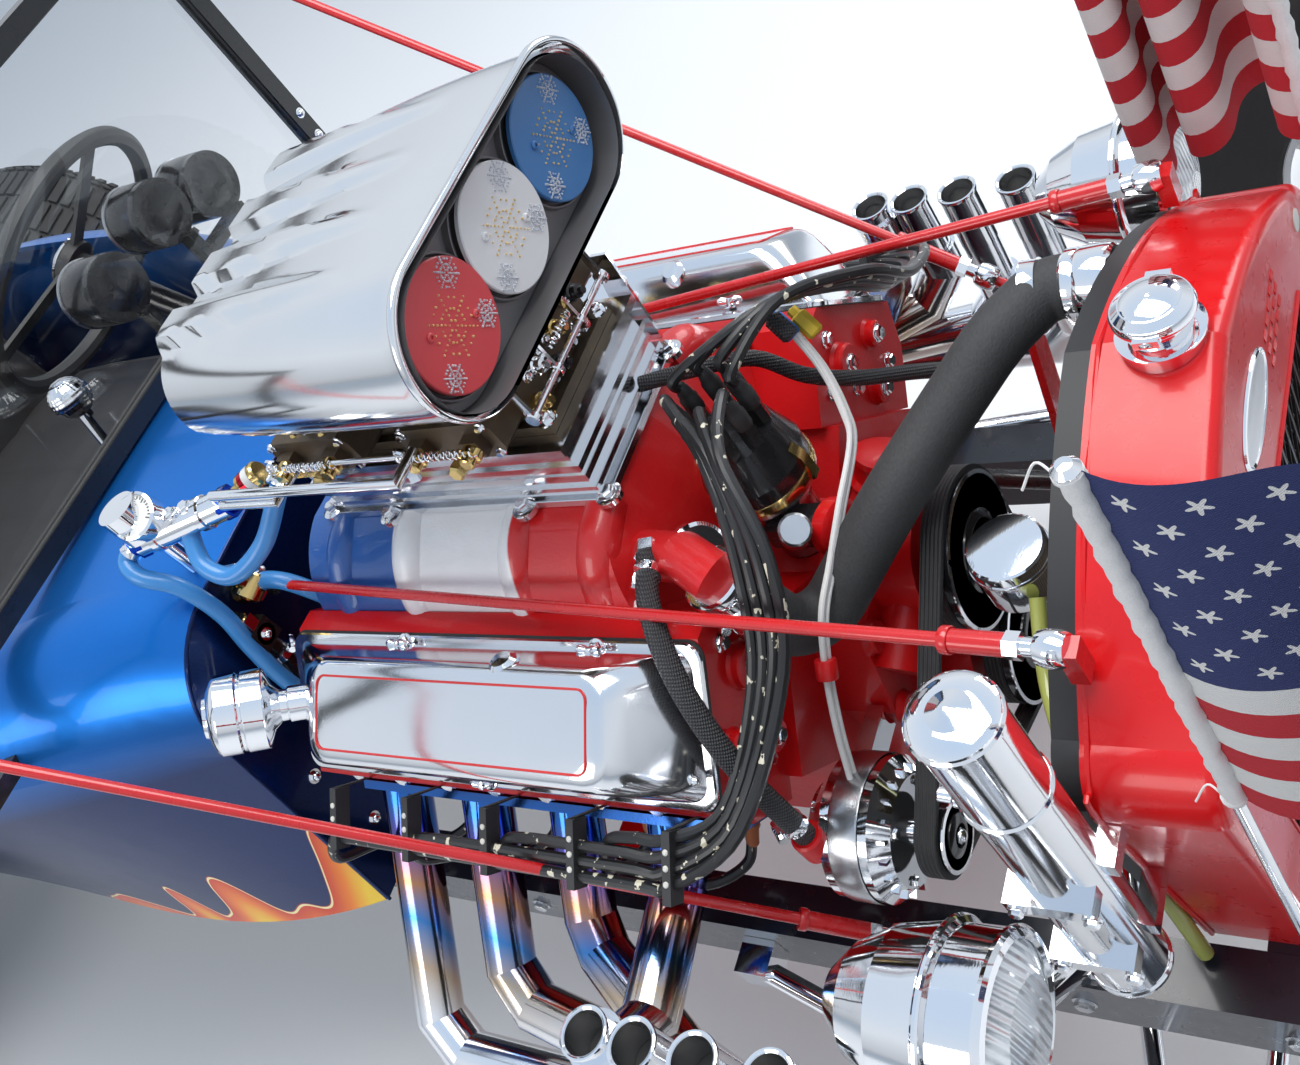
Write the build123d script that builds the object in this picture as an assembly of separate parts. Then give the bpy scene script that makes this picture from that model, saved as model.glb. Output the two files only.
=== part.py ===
"""Bucket-bodied hot rod roadster with an open vee engine, as named pieces.

Millimetres. +X is forward, +Y is the car's left, +Z is up. Every piece is drawn from one datum,
the crankshaft centre at the rear face of the engine block, and is shifted on writing so that the
origin lies on the ground below the middle of the car.
"""
from build123d import *

import os
from math import cos, radians, sin, sqrt, tan

# Seats and running gaps
seat_gap = 0.3
pin_gap = 0.5

# Stance: axles, tyres and ground
wheelbase = 2540
axle_ahead_of_block = 960
crank_height = 450
front_tyre_d = 660
front_tyre_w = 130
rear_tyre_d = 790
rear_tyre_w = 280
front_track = 1400
rear_track = 1440
rim_r = 195
front_rim_w = 104
rear_rim_w = 240

front_axle_x = axle_ahead_of_block
rear_axle_x = axle_ahead_of_block - wheelbase
ground_z = -crank_height
front_wheel_z = ground_z + front_tyre_d / 2
rear_wheel_z = ground_z + rear_tyre_d / 2
front_wheel_y = front_track / 2
rear_wheel_y = rear_track / 2
datum_x = -((front_axle_x + front_tyre_d / 2) + (rear_axle_x - rear_tyre_d / 2)) / 2

# Frame
rail_h = 76
rail_w = 50
rail_outer_y = 290
rail_top_z = -50
rail_front_x = 905
kick_rise = 166
kick_start_x = rear_axle_x + 268
kick_end_x = rear_axle_x + 140
rail_rear_x = rear_axle_x - 320

rail_mid_z = rail_top_z - rail_h / 2
rail_inner_y = rail_outer_y - rail_w
rail_mid_y = rail_outer_y - rail_w / 2
rear_rail_top_z = rail_top_z + kick_rise

# Steering and front axle
kingpin_y = front_wheel_y - 90
kingpin_r = 9
boss_r = 22
boss_half_h = 35
ear_h = 15
ear_reach = 45
axle_drop = 80
spindle_r = 16
steering_arm = 150
arm_top_z = -228
arm_h = 12
arm_w = 24
tie_rod_r = 9
joint_r = 13
joint_half_h = 12
pitman_x = 740
pitman_y = 190

# Engine
bore_pitch = 111.25
block_len = 500
deck_height = 208
deck_half_w = 75
pan_rail_z = -60
pan_depth = 130
head_h = 108
head_outer_t = 95
head_inner_t = -85
first_bore_x = 58
cover_rail_h = 6
valley_z = 165
distributor_x = block_len - 20
plenum_base_z = 332
plenum_h = 72
carb_h = 96
carb_x = (150, 315)
carb_half = 72
scoop_rear_x = 135
scoop_front_x = 438
scoop_wall = 5
mouth_half_w = 165
mouth_h = 124
plate_r = 49
plate_pitch = 97
header_r = 25
header_bend = 60
stack_r = 20
stack_top_z = 149
stack_y = 450
port_height = 41

# Body
firewall_x = -60
windshield_x = -287
tub_rear_x = rear_axle_x + 290
tub_wall = 8
tub_bottom_z = rail_top_z + seat_gap
seat_base_z = 96
tunnel_wall = 4
windshield_half_w = 496
windshield_rail = 24
windshield_bottom_z = 384
windshield_top_z = 756

# Bed and tank
bed_top_z = 372
tank_half_w = 300
tank_h = 170

# Radiator and shell
shell_rear_x = 795
shell_depth = 84
shell_wall = 5
shell_crown_z = 370
radiator_rear_x = 775
radiator_front_x = 850


def mirrored(shape):
    """The piece and its twin on the other side of the car."""
    return [shape, mirror(shape, Plane.XZ)]


def both(shape):
    """One node that holds a piece and its twin as separate solids."""
    return Compound(children=mirrored(shape))


def section(x, sketch):
    """A sketch in Y and Z, stood across the car at x."""
    return Plane(origin=(x, 0, 0), x_dir=(0, 1, 0), z_dir=(1, 0, 0)) * sketch


def slab_x(points, x_from, x_to):
    """A Y-Z outline carried from one x to another."""
    return extrude(section(x_from, Polygon(*points)), x_to - x_from, dir=(1, 0, 0))


def slab_y(points, y_from, y_to):
    """An X-Z outline carried from one y to another."""
    face = Plane(origin=(0, y_from, 0), x_dir=(1, 0, 0), z_dir=(0, -1, 0)) * Polygon(*points)
    return extrude(face, y_to - y_from, dir=(0, 1, 0))


def block(x, y, z):
    """A box between two corners, given as pairs for each axis."""
    middle = ((x[0] + x[1]) / 2, (y[0] + y[1]) / 2, (z[0] + z[1]) / 2)
    return Pos(*middle) * Box(abs(x[1] - x[0]), abs(y[1] - y[0]), abs(z[1] - z[0]))


def rod(start, end, r):
    """A straight round bar between two points."""
    start, end = Vector(*start), Vector(*end)
    run = end - start
    return extrude(Plane(origin=start, z_dir=run) * Circle(r), run.length)


def tube(points, r, bend=1000):
    """A round bar along straight runs joined by tangent arcs, each as large as its two runs allow."""
    corners = [Vector(*p) for p in points]
    radii = []
    for before, at, after in zip(corners, corners[1:], corners[2:]):
        shorter = min((at - before).length, (after - at).length)
        turn = radians((at - before).get_angle(after - at))
        radii.append(min(bend, 0.45 * shorter / tan(turn / 2)))
    path = FilletPolyline(*corners, radius=radii)
    return sweep(Plane(origin=path @ 0, z_dir=path % 0) * Circle(r), path=path)


def pipe(points, r, bend=0, cuts=1):
    """A rigid pipe with mitred corners; a bend radius spreads each corner over a few cuts."""
    corners = [Vector(*p) for p in points]
    route = [corners[0]]
    for before, at, after in zip(corners, corners[1:], corners[2:]):
        into, out = (at - before).normalized(), (after - at).normalized()
        turn = radians(into.get_angle(out))
        inward = (out - into * cos(turn)).normalized()
        centre = at - into * (bend * tan(turn / 2)) + inward * bend
        for k in range(cuts):
            a = turn * (k + 0.5) / cuts
            knee = (into * sin(a) - inward * cos(a)) * (bend / cos(turn / 2 / cuts))
            route.append(centre + knee if bend else at)
    route.append(corners[-1])
    path = Polyline(*route)
    return sweep(Plane(origin=path @ 0, z_dir=path % 0) * Circle(r), path=path, transition=Transition.RIGHT)


def disc_x(x_from, x_to, y, z, r):
    """A round slab across the car's length."""
    return rod((x_from, y, z), (x_to, y, z), r)


def disc_z(x, y, z_from, z_to, r):
    """A standing cylinder."""
    return rod((x, y, z_from), (x, y, z_to), r)


def turned(axis_plane, profile):
    """A turned piece: radius and distance pairs about the plane's x axis."""
    return revolve(axis_plane * Polygon(*[(d, r) for r, d in profile]), Axis(axis_plane.origin, axis_plane.x_dir))


def bank(t, a):
    """Y and Z of a point on the left cylinder bank: t outboard across it, a along the bores."""
    return ((a + t) / sqrt(2), (a - t) / sqrt(2))


# Frame and its cross members

def frame_rails():
    top = [(rail_front_x, rail_top_z), (kick_start_x, rail_top_z),
           (kick_end_x, rear_rail_top_z), (rail_rear_x, rear_rail_top_z)]
    under = [(x, z - rail_h) for x, z in reversed(top)]
    rail = slab_y(top + under, rail_inner_y, rail_outer_y)
    return both(rail)


def frame_crossmembers():
    inner = rail_inner_y - seat_gap
    front = block((840, 900), (-inner, inner), (rail_top_z - rail_h, rail_top_z))
    gearbox_mount = block((-590, -540), (-inner, inner), (-164, -134))
    tube_x = kick_start_x + 42
    seat_tube = rod((tube_x, -inner, rail_mid_z), (tube_x, inner, rail_mid_z), 22)
    seat_tube -= disc_x(tube_x - 30, tube_x + 30, 0, rail_mid_z + 50, 62)
    axle_hoop = block((kick_end_x - 60, kick_end_x - 20), (-inner, inner), (rear_rail_top_z - 40, rear_rail_top_z))
    tail = block((rail_rear_x + 5, rail_rear_x + 45), (-inner, inner), (rear_rail_top_z - rail_h, rear_rail_top_z))
    return Compound(children=[front, gearbox_mount, seat_tube, axle_hoop, tail])


# Front axle, spring and steering

beam_z = front_wheel_z - axle_drop
spring_x = rail_front_x - 35 + 30
perch_y = 395
rod_front_y = 440


def front_axle():
    """Dropped I-beam with kingpin bosses, spring perches and lugs for the radius rods."""
    # y and z of the beam's centre line, from the middle outwards
    line = ((0, beam_z), (470, beam_z), (545, front_wheel_z), (kingpin_y - 8, front_wheel_z))
    half_h = 24
    top = [(y, z + half_h) for y, z in line]
    under = [(y, z - half_h) for y, z in reversed(line)]
    half = slab_x(top + under, front_axle_x - 20, front_axle_x + 20)
    web_top = [(y, z + half_h - 9) for y, z in line[:3]]
    web_under = [(y, z - half_h + 9) for y, z in reversed(line[:3])]
    for x in (front_axle_x - 21, front_axle_x + 8):
        half -= slab_x(web_top + web_under, x, x + 13)
    half += disc_z(front_axle_x, kingpin_y, front_wheel_z - boss_half_h, front_wheel_z + boss_half_h, boss_r)
    half -= disc_z(front_axle_x, kingpin_y, front_wheel_z - 60, front_wheel_z + 60, kingpin_r + pin_gap)
    half += block((spring_x - 12, front_axle_x - 8), (perch_y - 12, perch_y + 12), (beam_z - 10, beam_z + 10))
    half += block((front_axle_x - 40, front_axle_x - 8), (rod_front_y - 8, rod_front_y + 8), (beam_z - 42, beam_z + 42))
    return half + mirror(half, Plane.XZ)


def front_spring():
    """Transverse leaf spring under the front cross member, with its shackles."""
    pack = block((spring_x - 26, spring_x + 26), (-40, 40), (rail_top_z - rail_h - 36, rail_top_z - rail_h - seat_gap))
    # length of half a leaf, drop of its tip, distance of its top below the crossmember
    for half_len, tip_drop, depth in ((perch_y - 7, 42, 0), (300, 26, 6.5), (220, 14, 13), (140, 6, 19.5)):
        top = rail_top_z - rail_h - seat_gap - depth
        arch = [ThreePointArc((-half_len, top - tip_drop), (0, top), (half_len, top - tip_drop)),
                Line((half_len, top - tip_drop), (half_len, top - tip_drop - 7)),
                ThreePointArc((half_len, top - tip_drop - 7), (0, top - 7), (-half_len, top - tip_drop - 7)),
                Line((-half_len, top - tip_drop - 7), (-half_len, top - tip_drop))]
        pack += extrude(section(spring_x - 22, make_face(arch)), 44, dir=(1, 0, 0))
    eye_z = rail_top_z - rail_h - seat_gap - 42 - 3
    foot_z = beam_z + 10 + seat_gap
    for side in (1, -1):
        y = side * (perch_y - 7)
        pack += block((spring_x - 30, spring_x - 23), (y - 9, y + 9), (foot_z, eye_z + 8))
        pack += block((spring_x - 30, spring_x + 12), (y - 9, y + 9), (foot_z, beam_z + 18))
        pack += block((spring_x - 30, spring_x + 23), (y - 9, y + 9), (eye_z - 12, eye_z + 8))
    return pack


def link_rods():
    """Split radius rods of the front axle and ladder bars of the rear one."""
    rods = []
    # x, y and heights of the fork's ends; x of the rod end on the frame rail; radius; reach of its bolt
    forks = ((front_axle_x - 40 - seat_gap - 3, rod_front_y, (beam_z + 34, beam_z - 14), 400, 10, 34),
             (rear_axle_x + 66 + seat_gap + 3, 330, (rear_wheel_z + 14, rear_wheel_z - 60), rear_axle_x + 430, 12, 40))
    for x, y, heights, end_x, r, reach in forks:
        end_z = rail_mid_z
        fork = block((end_x - 17, end_x + 17), (rail_outer_y + seat_gap, rail_outer_y + reach), (end_z - 16, end_z + 16))
        for z in heights:
            fork += rod((x, y, z), (end_x, rail_outer_y + reach - 12, end_z), r)
        rods += mirrored(fork)
    return Compound(children=rods)


def knuckle_left():
    """Forked knuckle with its kingpin, spindle and steering arm."""
    ear_outer = kingpin_y + ear_reach
    low = front_wheel_z - boss_half_h - seat_gap - ear_h
    high = front_wheel_z + boss_half_h + seat_gap + ear_h
    half_w = boss_r - 4
    body = disc_z(front_axle_x, kingpin_y, low, high, kingpin_r)
    for z in (low, high - ear_h):
        body += block((front_axle_x - half_w, front_axle_x + half_w), (kingpin_y, ear_outer), (z, z + ear_h))
        body += disc_z(front_axle_x, kingpin_y, z, z + ear_h, boss_r)
    body += block((front_axle_x - half_w, front_axle_x + half_w), (ear_outer - 15, ear_outer), (low, high))
    body += rod((front_axle_x, ear_outer - 5, front_wheel_z), (front_axle_x, front_wheel_y + 16, front_wheel_z), spindle_r)
    arm_x = front_axle_x - steering_arm
    arm = [(front_axle_x + 15, low + ear_h), (front_axle_x + 15, low), (front_axle_x - 15, low - 2),
           (front_axle_x - 35, arm_top_z - arm_h), (arm_x - 16, arm_top_z - arm_h), (arm_x - 16, arm_top_z),
           (front_axle_x - 55, arm_top_z), (front_axle_x - 30, low + ear_h)]
    body += slab_y(arm, kingpin_y - arm_w / 2, kingpin_y + arm_w / 2)
    return body


def joint_end(x, y, z):
    """A rod end's round eye."""
    return disc_z(x, y, z - joint_half_h, z + joint_half_h, joint_r)


tie_rod_z = arm_top_z - arm_h - joint_half_h - seat_gap
drag_link_z = arm_top_z + joint_half_h + seat_gap


def tie_rod():
    x = front_axle_x - steering_arm
    bar = rod((x, -kingpin_y, tie_rod_z), (x, kingpin_y, tie_rod_z), tie_rod_r)
    return bar + joint_end(x, kingpin_y, tie_rod_z) + joint_end(x, -kingpin_y, tie_rod_z)


def drag_link():
    near = (pitman_x - steering_arm, pitman_y, drag_link_z)
    far = (front_axle_x - steering_arm, -kingpin_y, drag_link_z)
    return rod(near, far, tie_rod_r) + joint_end(*near) + joint_end(*far)


box_bottom_z = -118
box_top_z = -6


def pitman_arm():
    low, high = arm_top_z - arm_h, arm_top_z
    arm = block((pitman_x - steering_arm - 14, pitman_x), (pitman_y - 12, pitman_y + 12), (low, high))
    arm += disc_z(pitman_x, pitman_y, low, high + 8, 20)
    arm += disc_z(pitman_x, pitman_y, low, box_bottom_z - seat_gap, 14)
    return arm


column_r = 17
shaft_front = (pitman_x - 50, 196, -40)
shaft_knee = (-30, 236, 6)
wheel_hub = (-520, 240, 470)


def column_direction():
    run = Vector(*wheel_hub) - Vector(*shaft_knee)
    return run.normalized()


def steering_column():
    """Steering box on the left rail, its shaft past the engine, and the column."""
    box = block((pitman_x - 50, pitman_x + 30), (pitman_y - 36, rail_inner_y - seat_gap), (box_bottom_z, box_top_z))
    box = chamfer(box.edges().filter_by(Axis.Z), 10)
    column_end = Vector(*wheel_hub) - column_direction() * 30
    knee = Vector(*shaft_knee)
    shaft = rod(shaft_front, knee + (knee - Vector(*shaft_front)).normalized() * 8, 10)
    shaft += rod(knee - column_direction() * 16, knee + column_direction() * 16, 20)
    shaft += rod(knee, column_end, column_r)
    return box + shaft


def steering_wheel():
    """A three-spoke wheel, square to the column."""
    rim_ring_r = 170
    plane = Plane(origin=wheel_hub, z_dir=column_direction())
    grip = [(rim_ring_r - 11, -5), (rim_ring_r - 5, -11), (rim_ring_r + 5, -11), (rim_ring_r + 11, -5),
            (rim_ring_r + 11, 5), (rim_ring_r + 5, 11), (rim_ring_r - 5, 11), (rim_ring_r - 11, 5)]
    ring = revolve(Plane.XZ * Polygon(*grip), Axis.Z)
    for k in range(3):
        ring += Rot(0, 0, 120 * k + 90) * Pos(rim_ring_r / 2 + 5, 0, 0) * Box(rim_ring_r - 10, 22, 5)
    ring += Cylinder(32, 16)
    ring += Pos(0, 0, -18.5) * Cylinder(18, 22)
    return plane.location * ring


# Wheels, drawn about their own axle with the outer side towards +Y

def wheel_rim(width, disc_y, hub_in, bore_r):
    half = width / 2
    lip_r, well_r = rim_r - 8, rim_r - 15
    axis_plane = Plane(origin=(0, 0, 0), x_dir=(0, 1, 0), z_dir=(1, 0, 0))
    rim = turned(axis_plane, [(rim_r, -half), (rim_r, half), (lip_r, half), (well_r, 0), (lip_r, -half)])
    spoke = Plane(origin=(0, disc_y + 8, 0), x_dir=(1, 0, 0), z_dir=(0, -1, 0)) * Polygon(
        (-36, 30), (36, 30), (27, 110), (34, well_r + 4), (-34, well_r + 4), (-27, 110))
    spoke = extrude(spoke, 18)
    for k in range(5):
        rim += Rot(0, 72 * k, 0) * spoke
    rim += rod((0, hub_in, 0), (0, disc_y + 14, 0), 52)
    rim += rod((0, disc_y + 14, 0), (0, disc_y + 26, 0), 34)
    rim -= rod((0, hub_in - 1, 0), (0, disc_y + 2, 0), bore_r)
    return rim


def tyre(tyre_d, width):
    """A tyre in flats round its tread, with drawn-in side walls and an open bead."""
    flats = 96
    half = width / 2
    bead = rim_r + seat_gap
    wall_r = bead + 0.62 * (tyre_d / 2 - bead)

    def ring(r, y):
        face = RegularPolygon(r, flats, major_radius=False, rotation=180 / flats)
        return Plane(origin=(0, y, 0), x_dir=(1, 0, 0), z_dir=(0, 1, 0)) * face
    body = loft([ring(wall_r, -half), ring(tyre_d / 2, 22 - half), ring(tyre_d / 2, half - 22), ring(wall_r, half)],
                ruled=True)
    body -= loft([ring(bead, -half - 1), ring(bead, half + 1)], ruled=True)
    for side in (1, -1):
        body -= loft([ring(bead, side * (half - 8)), ring(wall_r, side * half), ring(wall_r, side * (half + 1))],
                     ruled=True)
    return body


front_hub_in = kingpin_y + ear_reach + 5 - front_wheel_y
rear_hub_in = -60


def placed(shape, x, y, z):
    """A wheel piece set on its axle, turned about for the right side."""
    if y < 0:
        shape = mirror(shape, Plane.XZ)
    return Pos(x, y, z) * shape


# Rear axle and drive line

def rear_axle():
    """Live axle: tube, differential housing, brake drums and spring feet."""
    centre = (rear_axle_x, 0, rear_wheel_z)
    drum_in = rear_wheel_y + rear_hub_in - 65
    axle = rod((rear_axle_x, -drum_in, rear_wheel_z), (rear_axle_x, drum_in, rear_wheel_z), 38)
    axle += turned(Plane(origin=centre, x_dir=(1, 0, 0), z_dir=(0, -1, 0)),
                   [(0, -120), (90, -110), (125, -50), (125, 40), (60, 120), (52, 170), (0, 170)])
    for side in (1, -1):
        axle += rod((rear_axle_x, side * (drum_in - 5), rear_wheel_z),
                    (rear_axle_x, side * (drum_in + 60), rear_wheel_z), 130)
        axle += rod((rear_axle_x, side * (drum_in + 55), rear_wheel_z),
                    (rear_axle_x, side * rear_wheel_y, rear_wheel_z), 30)
        axle += block((rear_axle_x - 66, rear_axle_x - 20), (side * 320, side * 356),
                      (rear_wheel_z - 60, rear_wheel_z - 20))
        axle += block((rear_axle_x, rear_axle_x + 66), (side * 320, side * 340),
                      (rear_wheel_z - 76, rear_wheel_z + 30))
    return axle


def coilovers():
    """Rear shock absorbers, each inside its spring between two collars."""
    low = Vector(rear_axle_x - 84, 338, rear_wheel_z - 40)
    high = Vector(rear_axle_x - 84, 318, rear_rail_top_z - 46)
    run = (high - low).normalized()
    length = (high - low).length
    axis_plane = Plane(origin=low, x_dir=run, z_dir=run.cross(Vector(1, 0, 0)))
    # radius and distance up the shock absorber
    unit = turned(axis_plane, [(0, 0), (13, 0), (13, 40), (31, 44), (28, 54), (28, length - 30), (31, length - 22),
                               (12, length - 18), (12, length), (0, length)])
    unit += block((low.X - 13, low.X + 18 - seat_gap), (low.Y - 15, low.Y + 15), (low.Z - 15, low.Z + 15))
    unit += block((high.X - 15, high.X + 15), (rail_outer_y + seat_gap, high.Y + 12), (high.Z - 15, high.Z + 15))
    return both(unit)


def driveline():
    """Gearbox with its bell housing, and the drive shaft behind it."""
    bell = loft([section(-seat_gap, Circle(172)), section(-150, Circle(112))])
    bell -= block((-200, 10), (-200, 200), (-200, -140))
    case = block((-560, -140), (-105, 105), (-105, 90))
    case = chamfer(case.edges().filter_by(Axis.X), 30)
    pan = block((-580, -180), (-90, 90), (rail_mid_z - 46 + seat_gap, -104))
    tail = loft([section(-555, Circle(72)), section(-740, Circle(42))])
    front = Vector(-740 - seat_gap, 0, 0)
    rear = Vector(rear_axle_x + 170 + seat_gap, 0, rear_wheel_z)
    run = (rear - front).normalized()
    shaft = rod(front + run * 8, rear - run * 8, 32)
    shaft += disc_x(front.X, front.X - 14, 0, 0, 40)
    shaft += disc_x(rear.X, rear.X + 14, 0, rear.Z, 40)
    return Compound(children=[bell + case + pan + tail, shaft])


# Engine castings

def engine_block():
    """V block with its sump and two mounting ears."""
    right = [bank(deck_half_w, deck_height), bank(-deck_half_w, deck_height)]
    half = [(130, pan_rail_z), (130, 10), right[0], right[1], (40, valley_z)]
    outline = half + [(-y, z) for y, z in reversed(half)]
    casting = slab_x(outline, 0, block_len)
    sump_z = pan_rail_z - pan_depth
    casting += slab_y([(20, pan_rail_z), (block_len - 20, pan_rail_z), (block_len - 20, sump_z), (220, sump_z),
                       (180, pan_rail_z - 60), (20, pan_rail_z - 60)], -108, 108)
    for side in (1, -1):
        casting += block((220, 280), (side * 125, side * (rail_inner_y - seat_gap)), (rail_top_z - 35, rail_top_z + 5))
    return casting


def cylinder_heads():
    a0, a1 = deck_height, deck_height + head_h
    outline = [bank(*p) for p in ((head_inner_t, a0), (head_outer_t, a0), (head_outer_t, a0 + 62),
                                  (74, a1), (-70, a1), (head_inner_t, a1 - 16))]
    return both(slab_x(outline, 12, block_len - 12))


cover_base_a = deck_height + head_h
cover_top = ((-58, cover_base_a + 66), (30, cover_base_a + 84))
cover_flat_x = (103, block_len - 61)


def valve_covers():
    """Cast covers with sloping ends, each with a push-in breather on its rear slope."""
    base_a = cover_base_a + seat_gap
    rail_plane = Plane(origin=(0, *bank(0, base_a)), x_dir=(1, 0, 0),
                       z_dir=(0, sin(radians(45)), cos(radians(45))))
    middle = block_len / 2
    rail = extrude(rail_plane * Pos(middle, 0) * Rectangle(block_len - 16, 136), cover_rail_h)
    rail = chamfer(rail.edges().filter_by(lambda e: abs(e.length - cover_rail_h) < 0.01), 14)
    foot_z = cover_rail_h - 1
    inner, outer = (Vector(0, *bank(*p)) for p in cover_top)
    slope = outer - inner
    top_plane = Plane(origin=((cover_flat_x[0] + cover_flat_x[1]) / 2, *tuple((inner + outer) / 2)[1:]),
                      x_dir=(1, 0, 0), z_dir=Vector(1, 0, 0).cross(slope))
    foot = rail_plane * Pos(middle, 0, foot_z) * Rectangle(block_len - 30, 122)
    lid = top_plane * Rectangle(cover_flat_x[1] - cover_flat_x[0], slope.length)
    dome = loft([foot, lid], ruled=True)
    dome = chamfer(dome.faces().sort_by(Axis.Z)[-1].edges(), 6)
    seat = Vector(60, *bank(-12, cover_base_a + 46))
    lean = Vector(-0.66, 0.53, 0.53).normalized()
    plane = Plane(origin=seat - lean * 8, x_dir=lean, z_dir=lean.cross(Vector(0, 0, 1)))
    breather = turned(plane, [(0, 0), (16, 0), (16, 20), (38, 40), (38, 86), (0, 98)])
    return both(rail + dome + breather)


outlet_end = Vector(block_len + 17, -138, 283)
outlet_run = Vector(13, 16, -100).normalized()


def intake_manifold():
    """Dual-plane casting between the heads, cut down at its front, with the coolant outlet's elbow."""
    flange_low, flange_high = bank(head_inner_t, deck_height + 7), bank(head_inner_t, deck_height + 90)
    low_y, low_z = flange_low[0] - seat_gap, flange_low[1]
    high_y, high_z = flange_high[0] - seat_gap, flange_high[1]
    top = plenum_base_z
    lines = [Line((40, 185), (low_y, low_z)), Line((low_y, low_z), (high_y, high_z)),
             ThreePointArc((high_y, high_z), (126, 308), (80, top)), Line((80, top), (-80, top)),
             ThreePointArc((-80, top), (-126, 308), (-high_y, high_z)),
             Line((-high_y, high_z), (-low_y, low_z)), Line((-low_y, low_z), (-40, 185)),
             Line((-40, 185), (40, 185))]
    casting = extrude(section(30, make_face(lines)), block_len - 88)
    nose = [(block_len - 102, top + 1), (block_len, top + 1), (block_len, 190), (block_len - 54, 190),
            (block_len - 72, 225)]
    casting -= slab_y(nose, -200, 200)
    elbow = pipe([(block_len - 100, -92, 272), (block_len - 30, -116, 300), outlet_end - outlet_run * 30, outlet_end], 21)
    return casting + elbow


def plenum():
    """Polished box with stepped ribs round its front and rear, on a thin foot."""
    z0 = plenum_base_z + seat_gap
    top = plenum_base_z + plenum_h
    box = block((62, 404), (-84, 84), (z0, z0 + 7))
    box += block((74, 392), (-76, 76), (z0, top - 8))
    # how far each rib stands out of the walls, and its lowest and highest point
    for out, low, high in ((6, 12, 18), (3, 26, 32), (6, 40, 46)):
        box += block((74 - out, 392 + out), (-76 - out / 2, 76 + out / 2), (z0 + low, z0 + high))
    box += block((66, 400), (-84, 84), (top - 8, top))
    return box


def carburetors():
    """Two four-barrel carburetors in line, float bowls on both sides."""
    base = plenum_base_z + plenum_h + seat_gap
    top = plenum_base_z + plenum_h + carb_h
    bodies = []
    for x in carb_x:
        body = block((x - carb_half, x + carb_half), (-66, 66), (base, base + 10))
        body += block((x - 60, x + 60), (-58, 58), (base + 8, base + 56))
        for side in (1, -1):
            bowl = block((x - 52, x + 52), (side * 50, side * 96), (base + 14, base + 54))
            body += chamfer(bowl.edges().filter_by(Axis.Y), 9)
            for offset in (-30, 30):
                body += block((x + offset - 9, x + offset + 9), (side * 90, side * 106), (base + 25, base + 43))
        body += disc_z(x, 0, base + 50, top, 62)
        bodies.append(body)
    return Compound(children=bodies)


def slot_section(x, half_w, low, high):
    """An upright section of the scoop: flat top and bottom, round ends."""
    plane = Plane(origin=(x, 0, (low + high) / 2), x_dir=(0, 1, 0), z_dir=(1, 0, 0))
    return plane * SlotOverall(2 * half_w, high - low)


scoop_low_z = plenum_base_z + plenum_h + carb_h + seat_gap
scoop_top_z = scoop_low_z + mouth_h
plate_z = (scoop_low_z + scoop_top_z) / 2
plate_x = scoop_front_x - 22
# distance ahead of the rear, narrowing, drop of the top
scoop_sections = ((0, 17, 26), (150, 8, 8), (scoop_front_x - scoop_rear_x, 0, 0))


def intake_scoop():
    """Air scoop with a rolled lip, a stepped rear and four flutes that fade towards its mouth."""
    def hull(inset):
        return loft([slot_section(scoop_rear_x + ahead, mouth_half_w - narrow - inset, scoop_low_z + inset,
                                  scoop_top_z - drop - inset) for ahead, narrow, drop in scoop_sections], ruled=True)
    lip = extrude(slot_section(scoop_front_x - 14, mouth_half_w + 5, scoop_low_z, scoop_top_z + 5), 16)
    lip = chamfer(lip.faces().sort_by(Axis.X)[-1].edges(), 4)
    shell = hull(0) + lip
    rib_x = scoop_rear_x + 8
    for y in (-93, -31, 31, 93):
        rib = [(rib_x, scoop_top_z - 50), (rib_x + 230, scoop_top_z - 20), (rib_x, scoop_top_z - 14)]
        shell += slab_y(rib, y - 12, y + 12)
    cavity = hull(scoop_wall) - block((0, rib_x), (-300, 300), (scoop_low_z, scoop_top_z + 200))
    mouth = extrude(slot_section(scoop_front_x - 16, mouth_half_w - scoop_wall, scoop_low_z + scoop_wall,
                                 scoop_top_z - scoop_wall), 40)
    shell = shell - cavity - mouth
    bulkhead = extrude(slot_section(plate_x - 12, mouth_half_w - 3, scoop_low_z + 3, scoop_top_z - 3), 4)
    for k in (-1, 0, 1):
        bulkhead -= disc_x(plate_x - 20, plate_x, k * plate_pitch, plate_z, plate_r + 2)
    shell += bulkhead
    shell -= rod((plate_x, -200, plate_z), (plate_x, 200, plate_z), 6 + pin_gap)
    return shell


def scoop_plates():
    """Three round throttle plates on one shaft, with its lever on the left."""
    shaft = rod((plate_x, -mouth_half_w - 12, plate_z), (plate_x, mouth_half_w + 26, plate_z), 6)
    for k in (-1, 0, 1):
        shaft += disc_x(plate_x + 2, plate_x + 7, k * plate_pitch, plate_z, plate_r)
    lever_y = mouth_half_w + 14
    shaft += block((plate_x - 8, plate_x + 46), (lever_y, lever_y + 5), (plate_z - 8, plate_z + 8))
    return shaft


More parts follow.
